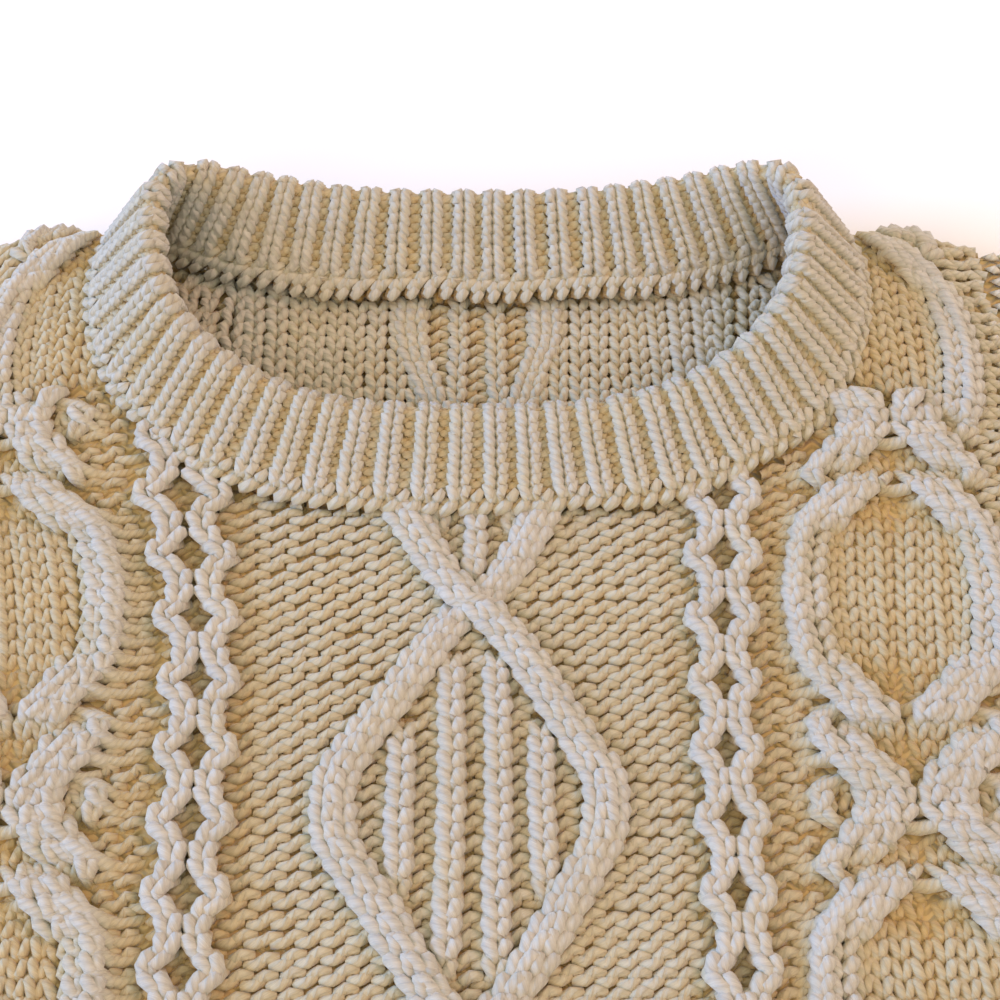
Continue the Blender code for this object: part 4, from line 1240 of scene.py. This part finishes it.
def finish_wool(material, colour, height, distance, strength):
    """Links a colour and a bump, and gives wool's gloss: rough, with a soft sheen from loose hairs."""
    tree = material.node_tree
    shader = tree.nodes["Principled BSDF"]
    bump = add_node(tree, "Bump", {"Height": height, "Distance": distance * MM, "Strength": strength})[0]
    tree.links.new(colour, shader.inputs["Base Color"])
    tree.links.new(bump, shader.inputs["Normal"])
    gloss = {"Roughness": 0.88, "IOR": 1.54, "Specular IOR Level": 0.25}
    for label, value in {**gloss, "Sheen Weight": 0.45, "Sheen Roughness": 0.5}.items():
        shader.inputs[label].default_value = value
    return material


def worsted_wool(settings):
    """Cream worsted wool, spun in plies and twisted: matt and hairy, with painted shade in deep gold between
    loops and in the grooves between plies.
    """
    material, add = new_material("worsted_wool_plied")
    yarn = add("SeparateXYZ", {0: add("UVMap", uv_map="yarn")[0]})
    turns = add("Math", {0: yarn["Y"], 1: 1 / settings.twist_length}, operation="MULTIPLY")[0]
    phase = add("Math", {0: yarn["X"], 1: turns}, operation="SUBTRACT")[0]
    swing = add("Math", {0: phase, 1: math.pi * settings.plies}, operation="MULTIPLY")[0]
    wave = add("Math", {0: swing}, operation="SINE")[0]
    ridge = add("Math", {0: wave}, operation="ABSOLUTE")[0]
    ply = add("Math", {0: ridge, 1: 1.2}, operation="POWER")[0]
    # Hairs 0.12 mm apart lie along each ply; they are drawn at 0.3 mm so that they show
    hair_place = add("CombineXYZ", {0: swing, 1: yarn["Y"], 2: 0.0})[0]
    hair_scale = add("VectorMath", {0: hair_place, 1: (1.6, 0.45, 1.0)}, operation="MULTIPLY")[0]
    hairs = add("TexNoise", {"Vector": hair_scale, "Scale": 1.6, "Detail": 3.0, "Roughness": 0.6})["Fac"]
    hollow, tone = (add("Attribute", attribute_name=label)["Fac"] for label in ("hollow", "tone"))
    where = add("TexCoord")["Object"]
    cloud = add("TexNoise", {"Vector": where, "Scale": 70.0, "Detail": 3.0})["Fac"]
    # Painted shade: the ramp runs from pale on raised yarn, through the wool's colour, to gold in hollows,
    # made a little uneven by a random cloud
    uneven = add("Math", {0: cloud, 1: 0.5, 2: hollow}, operation="MULTIPLY_ADD")[0]
    depth = add("Math", {0: uneven, 1: 0.25}, operation="SUBTRACT", use_clamp=True)[0]
    body = add("ValToRGB", {0: depth}, stops=wool_colours(settings, 0.35, 0.75))["Color"]
    # Painted shade: the grooves between plies are painted darker
    groove = add("MapRange", {0: ply, 1: 0.0, 2: 0.8, 3: 0.88, 4: 1.0})[0]
    fibre = add("MapRange", {0: hairs, 1: 0.3, 2: 0.7, 3: 0.86, 4: 1.1})[0]
    # The tone: up to 1, each yarn's random dye; from 3 to 4, the grains' painted light that makes them paler
    dye_and_painted_light = add("MapRange", {0: tone, 1: 0.0, 2: 4.0, 3: 0.95, 4: 1.31})[0]
    grooved = add("Math", {0: groove, 1: fibre}, operation="MULTIPLY")[0]
    shade = add("Math", {0: grooved, 1: dye_and_painted_light}, operation="MULTIPLY")[0]
    shaded = add("VectorMath", {0: body, "Scale": shade}, operation="SCALE")[0]
    spots = add("TexVoronoi", {"Vector": where, "Scale": 150.0})["Distance"]
    fleck = add("Math", {0: spots, 1: 0.055}, operation="LESS_THAN")[0]
    part = add("Math", {0: fleck, 1: 0.35}, operation="MULTIPLY")[0]
    blend = {"Factor": part, "A": shaded, "B": (*settings.fleck, 1.0)}
    colour = add("Mix", blend, data_type="RGBA")["Result"]
    height = add("Math", {0: hairs, 1: 0.9, 2: ply}, operation="MULTIPLY_ADD")[0]
    return finish_wool(material, colour, height, 0.26, 0.7)


def knitted_ground(settings):
    """The cloth under the yarn and the garment's underside: purl bumps pressed flat, painted lighter on the
    bumps and darker between them as shade, and painted in the hollows' shade where it faces up under the
    yarn.
    """
    material, add = new_material("worsted_wool_ground")
    where = add("TexCoord")["Object"]
    apart = add("SeparateXYZ", {0: where})
    wale = add("Math", {0: apart["X"], 1: 2 * math.pi / (5.4 * MM)}, operation="MULTIPLY")[0]
    course = add("Math", {0: apart["Y"], 1: 2 * math.pi / (ROW * MM)}, operation="MULTIPLY")[0]
    swing = add("Math", {0: wale}, operation="COSINE")[0]
    bent = add("Math", {0: swing, 1: 1.3, 2: course}, operation="MULTIPLY_ADD")[0]
    rows = add("Math", {0: bent}, operation="SINE")[0]
    raised = add("MapRange", {0: rows, 1: -0.7, 2: 0.9, 3: 0.0, 4: 1.0})[0]
    cloud = add("TexNoise", {"Vector": where, "Scale": 420.0, "Detail": 4.0})["Fac"]
    light = add("Math", {0: cloud, 1: 0.5, 2: raised}, operation="MULTIPLY_ADD")[0]
    # Painted shade: cloth facing up lies under the yarn and is painted in the hollows' colours; cloth facing
    # down or sideways shows the bumps' painted shade
    facing = add("SeparateXYZ", {0: add("NewGeometry")["Normal"]})["Z"]
    covered = add("MapRange", {0: facing, 1: 0.1, 2: 0.5, 3: 0.0, 4: 0.8})[0]
    bare = add("MapRange", {0: facing, 1: 0.1, 2: 0.5, 3: 1.0, 4: 0.0})[0]
    shown = add("Math", {0: 1.2, 1: light}, operation="SUBTRACT")[0]
    depth = add("Math", {0: shown, 1: bare, 2: covered}, operation="MULTIPLY_ADD", use_clamp=True)[0]
    body = add("ValToRGB", {0: depth}, stops=wool_colours(settings, 0.4, 0.8))["Color"]
    height = add("Math", {0: cloud, 1: 0.2, 2: raised}, operation="MULTIPLY_ADD")[0]
    return finish_wool(material, body, height, 1.2, 0.9)


def painted_board(settings):
    """A matt painted board, sprayed and rubbed down: an even pale floor."""
    material, add = new_material("painted_board")
    cloud = add("TexNoise", {"Vector": add("TexCoord")["Object"], "Scale": 3.0, "Detail": 2.0})["Fac"]
    pale = tuple(0.985 * part for part in settings.floor_colour)
    stops = ((0.3, pale), (0.7, tuple(settings.floor_colour)))
    colour = add("ValToRGB", {0: cloud}, stops=stops)["Color"]
    shader = material.node_tree.nodes["Principled BSDF"]
    material.node_tree.links.new(colour, shader.inputs["Base Color"])
    shader.inputs["Roughness"].default_value = 0.9
    shader.inputs["Specular IOR Level"].default_value = 0.1
    return material


def made_once(name, maker, settings):
    """The material of this name, made if it isn't there yet."""
    return bpy.data.materials.get(name) or maker(settings)


def yarn_wool(context):
    return made_once("worsted_wool_plied", worsted_wool, context.scene.sweater_wool)


def ground_wool(context):
    return made_once("worsted_wool_ground", knitted_ground, context.scene.sweater_wool)


# ---- settings ----


def colour_setting(name, description, value):
    """A colour property whose default is this sRGB hex colour."""
    return FloatVectorProperty(
        name=name, description=description, subtype="COLOR", size=3, min=0, max=1, default=linear(value)
    )


def power_setting(name, description, watts):
    return FloatProperty(name=name, description=description, default=watts, unit="POWER")


class SweaterWool(bpy.types.PropertyGroup):
    """Colours and twist of the wool; the colours are a painted highlight, the wool's own colour and painted
    shade.
    """

    # A ramp of painted light and shade: a painted highlight on raised yarn, the wool itself, and painted
    # shade in hollows and deep hollows
    wool_light: colour_setting("Raised wool", "Colour of the yarn that stands out", "#C8C4B8")
    wool_body: colour_setting("Wool", "Colour of the yarn itself", "#C6BDA0")
    wool_hollow: colour_setting("Hollows", "Colour of the yarn between loops", "#C3A86F")
    wool_deep: colour_setting("Deep hollows", "Colour far in between the loops", "#B08A48")
    fleck: colour_setting("Flecks", "Colour of the few odd fibres", "#8D8A86")
    plies: FloatProperty(
        name="Plies", description="Ridges of twisted strands round the yarn", default=4.0, min=2, max=6
    )
    twist_length: FloatProperty(
        name="Twist", description="Length of a turn of the yarn, in millimetres", default=6.6, min=3, max=30
    )


class SweaterStage(bpy.types.PropertyGroup):
    """Floor and lamps."""

    floor_colour: colour_setting("Floor", "Colour of the floor", "#FCFCFB")
    window_power: power_setting("Window", "Power of the low cool light at the left", 72.0)
    lamp_power: power_setting("Lamp", "Power of the warm light behind at the right", 16.0)
    fill_power: power_setting("Fill", "Power of the warm light in front at the left", 17.0)
    room_light: FloatProperty(
        name="Room", description="Strength of the light all round", default=0.84, min=0
    )


# ---- pieces ----


def whole_rows(low, high):
    """Heights of the rows from high down to low, counted from the neck seam."""
    first = math.ceil(-high / ROW - 0.5)
    last = math.floor(-low / ROW - 0.5)
    return [-(row + 0.5) * ROW for row in range(first, last + 1)]


def within(reach):
    """A test that keeps the places this near the middle."""
    return lambda places, y: np.abs(places) < reach


class SWEATER_OT_back(bpy.types.Operator):
    """Makes the back panel with its straps over the shoulders"""

    bl_idname = "sweater.back"
    bl_label = "Back"

    def execute(self, context):
        wool = yarn_wool(context)
        outline = back_outline()
        spots = grid_spots((-252, HEM_LINE + 6), (252, 62), PANEL_STEP[1])
        # The cloth has more corners over the fold and on the straps
        spots += [
            (side * x, float(fold_y(x) + turn * bend_radius(x)))
            for side in (-1, 1)
            for x in (104, 112, 124, 140, 156, 172, 188)
            for turn in np.linspace(0, math.pi, 7)
        ]
        spots += [
            (side * x, float(over_fold(x, seam_y(x) + rise)))
            for side in (-1, 1)
            for x in range(112, 204, 12)
            for rise in (5, 16, 27, 38)
        ]

        def outer(x, run):
            top = smooth_step((run - fold_y(x)) / 6) * (np.abs(x) > 85)
            return back_place(x, run, (FACE + 0.2) * top)

        def inner(x, run):
            bare = (np.abs(x) < 112) & (run > -6) & (run < fold_y(x) + 2)
            return back_place(x, run, np.where(bare, WALL - 3.2, WALL))

        cloth = cloth_panel("back_cloth", outline, spots, outer, inner, ground_wool(context))
        lower = np.array(lower_neck_edge())

        def inside_keep(places, y):
            neck = np.interp(np.abs(places), lower[::-1, 0], lower[::-1, 1])
            return (np.abs(places) < INSIDE_WIDE) & (y < neck - 0.5)

        inside = Fabric(0, 75, inside_chart, level_surface(WALL))
        parts = courses(inside, whole_rows(12, 71), inside_keep, BODY_GAUGE, 11)
        yarns = [wool_mesh("back_inside_yarn", parts, wool)]
        edge = np.array([(x, y) for x, y in upper_neck_edge() if y > seam_y(x)])
        strap = Fabric(-150, 100, front_chart, strap_surface)
        for side, name in ((1, "left"), (-1, "right")):

            def beside(places, y):
                turned = 2 * fold_y(STRAP_AT) + math.pi * bend_radius(STRAP_AT) + y
                neck = np.interp(turned, edge[:, 1], edge[:, 0])
                return (side * places > neck + 1.5) & (side * places < STRAP_END)

            def close_up(places, y):
                return beside(places, y) & (side * places < STRAP_CLOSE_UP)

            def beyond(places, y):
                return beside(places, y) & (side * places >= STRAP_FAR)

            near, far = [], []
            for row in range(STRAP_ROWS):
                y = -float(over_fold(STRAP_AT, seam_y(STRAP_AT))) + 2.0 + row * ROW
                if y <= -float(fold_y(STRAP_AT)) + 8:
                    near += courses(strap, [y], close_up, BODY_GAUGE, 20 + row)
                    far += grains(strap, [y], beyond, GRAIN_GAUGE, 60 + row)
            yarns.append(wool_mesh(f"strap_{name}_yarn", near, wool))
            yarns.append(wool_mesh(f"strap_{name}_far_yarn", [joined(far)], wool))
        area = polygon_area(outline)
        declare_cloth(cloth, "back", yarns)
        return {"FINISHED"}


class SWEATER_OT_front(bpy.types.Operator):
    """Makes the front panel: its cloth, and its cables stitch by stitch"""

    bl_idname = "sweater.front"
    bl_label = "Front"

    def execute(self, context):
        wool = yarn_wool(context)
        outline = front_outline()

        def outer(x, y):
            return np.stack([x, y, UPPER + WALL - CLOTH_DROP + lift(x, y)], -1)

        def inner(x, y):
            return np.stack([x, y, UPPER + lift(x, y)], -1)

        spots = grid_spots((-252, HEM_LINE + 6), (252, 30), PANEL_STEP[0])
        cloth = cloth_panel("front_cloth", outline, spots, outer, inner, ground_wool(context))
        fabric = Fabric(HEM_LINE, 36, front_chart, front_surface)

        def inside(places, y):
            level = np.full(len(places), y)
            return inside_by(outline, np.stack([spread(places, level), level], -1)) > 0.7

        def close_up(places, y):
            return inside(places, y) & (np.abs(places) < CLOSE_UP_WIDE)

        def beyond(places, y):
            return inside(places, y) & ((np.abs(places) > FAR_WIDE) if y > CLOSE_UP_LOW else True)

        yarns = []
        for name, low, high in (("upper", -62, 36), ("lower", CLOSE_UP_LOW, -62)):
            parts = courses(fabric, whole_rows(low, high), close_up, BODY_GAUGE, len(yarns))
            yarns.append(wool_mesh(f"front_{name}_yarn", parts, wool))
        for name, low, high in (("chest", -300, 36), ("waist", HEM_LINE + 1.5, -300)):
            parts = grains(fabric, whole_rows(low, high), beyond, GRAIN_GAUGE, 5 + len(yarns))
            yarns.append(wool_mesh(f"front_{name}_yarn", parts, wool))
        area = polygon_area(outline)
        declare_cloth(cloth, "front", yarns)
        return {"FINISHED"}


class SWEATER_OT_neckband(bpy.types.Operator):
    """Makes the double neckband in knit-one purl-one rib"""

    bl_idname = "sweater.neckband"
    bl_label = "Neckband"

    def execute(self, context):
        wool = yarn_wool(context)
        surface = BandSurface()
        pitch = surface.round / BAND_RIBS
        gauge = BAND_GAUGE._replace(round=surface.round, wide=pitch / 2)
        chart = ribs_chart(pitch, 0.5, 0.0, BAND_RIBS, 0.0, BAND_SINK)
        fabric = Fabric(0, BAND_HEIGHT, chart, surface)
        random = np.random.default_rng(3)
        parts = {"outer": [], "inner": []}
        edge_wales = np.arange(2 * BAND_RIBS) * (pitch / 2)
        edge = Fabric(0, BAND_HEIGHT, purl_chart(edge_wales, EDGE_HIGH), surface)
        edge_gauge = gauge._replace(slant=1.0, uneven=0.42, rise=1.7)
        for row in range(-1, BAND_ROWS + 1):
            y = (row + 0.5) * BAND_HEIGHT / BAND_ROWS
            laid = edge if row in (-1, BAND_ROWS - 1, BAND_ROWS) else fabric
            y += EDGE_IN if row < 0 else -EDGE_IN if row == BAND_ROWS else 0.0
            wales, _, kinds = laid.row(y)
            knitted = edge_gauge if laid is edge else gauge
            course = loop_line(laid, y, wales, kinds, knitted, random, closed=True)
            part = yarn_part(course, laid, knitted, random, closed=True)
            parts["outer" if row < BAND_ROWS / 2 else "inner"].append(part)
        yarns = [wool_mesh(f"neckband_{face}_yarn", parts[face], wool) for face in parts]
        # More of its cloth's corners lie round the fold
        stretches = ((0, 21, 4), (23, 29, 5), (31, BAND_HEIGHT, 4))
        heights = np.concatenate([np.linspace(*stretch) for stretch in stretches])
        deep, thick = BAND_CLOTH
        sections = []
        for u in np.arange(BAND_RIBS * 3) / (BAND_RIBS * 3) * surface.round:
            flat = np.stack([np.full(len(heights), u), heights, np.full(len(heights), -deep)], -1)
            points, _ = on_surface(surface, np.concatenate([flat, flat[::-1] - (0, 0, thick)]))
            sections.append(points)
        cloth = swept_cloth("neckband_cloth", sections, True, ground_wool(context))
        declare_cloth(cloth, "neckband", yarns)
        return {"FINISHED"}


class SWEATER_OT_sleeves(bpy.types.Operator):
    """Makes both sleeves as flattened tubes"""

    bl_idname = "sweater.sleeves"
    bl_label = "Sleeves"

    def execute(self, context):
        wool = yarn_wool(context)
        for name, side in (("left", 1), ("right", -1)):
            surface = SleeveSurface(side)
            stations = []
            for row in np.linspace(0, len(SLEEVE_ROWS) - 1, 33):
                edges = smooth_through(SLEEVE_ROWS, [row], False)[0]
                width = math.dist(edges[:2], edges[2:])
                stations.append((partial(sleeve_place, row), partial(sleeve_lift, row), width))
            cloth = tube_cloth(f"sleeve_{name}_cloth", side, stations, ground_wool(context))
            length = surface.run[-1]
            places = (np.arange(SLEEVE_WALES) - (SLEEVE_WALES - 1) / 2) * OUTER_PITCH
            fabric = Fabric(-length, 0, purl_chart(places), surface, 2.0)

            def keep(places, y):
                return np.abs(places) < surface.width(y) / 2 - 2.2

            parts = grains(fabric, whole_rows(1.5 - length, -1.5), keep, GRAIN_GAUGE, 31 + side)
            yarn = wool_mesh(f"sleeve_{name}_yarn", parts, wool)
            area = 2 * float(np.trapz(surface.wide, surface.run))
            declare_cloth(cloth, f"sleeve_{name}", [yarn])
        return {"FINISHED"}


class SWEATER_OT_cuffs(bpy.types.Operator):
    """Makes both ribbed cuffs"""

    bl_idname = "sweater.cuffs"
    bl_label = "Cuffs"

    def execute(self, context):
        wool = yarn_wool(context)
        for name, side in (("left", 1), ("right", -1)):
            surface = CuffSurface(side)
            stations = [
                (partial(surface.place, run, CUFF_WIDTH + extra), lambda share: 0.0, CUFF_WIDTH + extra)
                for run, extra in CUFF_FLARE
            ]
            cloth = tube_cloth(f"cuff_{name}_cloth", side, stations, ground_wool(context))
            pitch = CUFF_WIDTH * (1 - 2 * CUFF_SIDE) / CUFF_RIBS
            first = -CUFF_WIDTH / 2 + CUFF_WIDTH * CUFF_SIDE - pitch
            chart = ribs_chart(pitch, 0.375, -0.125, CUFF_RIBS + 2, first, RIB_SINK, RIB_RISE)
            fabric = Fabric(-CUFF_LENGTH, 0, chart, surface)
            rows = whole_rows(-CUFF_LENGTH + 1, -1)
            parts = grains(fabric, rows, within(CUFF_WIDTH / 2 - 2.4), RIB_GAUGE, 41 + side)
            yarn = wool_mesh(f"cuff_{name}_yarn", parts, wool)
            declare_cloth(cloth, f"cuff_{name}", [yarn])
        return {"FINISHED"}


class SWEATER_OT_hems(bpy.types.Operator):
    """Makes the front and back hems, with rib yarn on the front one"""

    bl_idname = "sweater.hems"
    bl_label = "Hems"

    def execute(self, context):
        wool = yarn_wool(context)
        for name, low, top in (("back", 0.0, WALL), ("front", UPPER, UPPER + WALL - CLOTH_DROP)):
            sections = []
            for x in np.linspace(-HEM_HALF, HEM_HALF, 56):
                ys = HEM_LINE - np.array((HEM_DEPTH, SEAM_GAP, SEAM_GAP, HEM_DEPTH / 2, HEM_DEPTH))
                sections.append(np.stack([np.full(5, x), ys, (low, low, top, top, top - 0.3)], -1))
            cloth = swept_cloth(f"hem_{name}_cloth", sections, False, ground_wool(context))
            yarns = []
            if name == "front":
                pitch = 2 * HEM_HALF / HEM_RIBS
                chart = ribs_chart(pitch, 0.6, 0.1, HEM_RIBS, -HEM_HALF, RIB_SINK, RIB_RISE)
                fabric = Fabric(HEM_LINE - HEM_DEPTH, HEM_LINE, chart, level_surface(TUBE_TOP))
                rows = whole_rows(HEM_LINE - HEM_DEPTH + 1, HEM_LINE - 1)
                parts = grains(fabric, rows, within(HEM_HALF - 1), RIB_GAUGE, 51)
                yarns = [wool_mesh("hem_front_yarn", parts, wool)]
            declare_cloth(cloth, f"hem_{name}", yarns)
        return {"FINISHED"}


class SWEATER_OT_stage(bpy.types.Operator):
    """Makes the floor, the lamps and the camera"""

    bl_idname = "sweater.stage"
    bl_label = "Stage"

    def execute(self, context):
        stage = context.scene.sweater_stage
        mesh = bpy.data.meshes.new("floor")
        corners = [(x * FLOOR_HALF, y * FLOOR_HALF, 0) for x, y in ((-1, -1), (1, -1), (1, 1), (-1, 1))]
        mesh.from_pydata(corners, [], [(0, 1, 2, 3)])
        mesh.materials.append(made_once("painted_board", painted_board, stage))
        floor = linked("floor", mesh)
        camera = bpy.data.cameras.new("camera")
        camera.lens, tilt, away = EYE[0], math.radians(EYE[1]), EYE[2]
        camera.sensor_width = 36.0
        camera.clip_start = 0.01
        eye = linked("camera", camera)
        eye.location = Vector(EYE_AIM) + Vector((0, -math.sin(tilt), math.cos(tilt))) * away
        eye.rotation_euler = Euler((tilt, 0, 0))
        context.scene.camera = eye
        soft_lamp("window", (-2.5, 0.325, 0.875), 1.0, stage.window_power, linear("#78B2FF"))
        soft_lamp("lamp", (1.5, 0.95, 1.45), 1.1, stage.lamp_power, linear("#FFAE97"))
        soft_lamp("fill", (-1.5, -1.55, 1.5), 1.25, stage.fill_power, linear("#FFBC76"))
        world = bpy.data.worlds.new("room")
        world.use_nodes = True
        background = world.node_tree.nodes["Background"]
        background.inputs["Color"].default_value = (*linear("#FFFCF0"), 1.0)
        background.inputs["Strength"].default_value = stage.room_light
        context.scene.world = world
        context.scene.view_settings.view_transform = "Standard"
        return {"FINISHED"}


def soft_lamp(name, place, size, power, colour):
    """A square soft box that looks at the neck."""
    lamp = bpy.data.lights.new(name, "AREA")
    lamp.size = size
    lamp.energy = power
    lamp.color = colour
    thing = linked(name, lamp)
    thing.location = Vector(place)
    aim = Vector(LAMP_AIM) - thing.location
    thing.rotation_euler = aim.to_track_quat("-Z", "Y").to_euler()


class SWEATER_PT_panel(bpy.types.Panel):
    """Lists the sweater's pieces and settings"""

    bl_idname = "SWEATER_PT_panel"
    bl_label = "Sweater"
    bl_space_type = "VIEW_3D"
    bl_region_type = "UI"
    bl_category = "Sweater"

    def draw(self, context):
        for group in (context.scene.sweater_wool, context.scene.sweater_stage):
            for name in group.__annotations__:
                self.layout.prop(group, name)
        for operator in OPERATORS:
            self.layout.operator(operator.bl_idname)


OPERATORS = (
    SWEATER_OT_back,
    SWEATER_OT_front,
    SWEATER_OT_neckband,
    SWEATER_OT_sleeves,
    SWEATER_OT_cuffs,
    SWEATER_OT_hems,
    SWEATER_OT_stage,
)
CLASSES = (SweaterWool, SweaterStage, *OPERATORS, SWEATER_PT_panel)


def register():
    for part in CLASSES:
        bpy.utils.register_class(part)
    bpy.types.Scene.sweater_wool = PointerProperty(type=SweaterWool)
    bpy.types.Scene.sweater_stage = PointerProperty(type=SweaterStage)


def unregister():
    del bpy.types.Scene.sweater_stage
    del bpy.types.Scene.sweater_wool
    for part in reversed(CLASSES):
        bpy.utils.unregister_class(part)


def main():
    register()
    for operator in OPERATORS:
        group, name = operator.bl_idname.split(".")
        getattr(getattr(bpy.ops, group), name)()


if __name__ == "__main__":
    main()
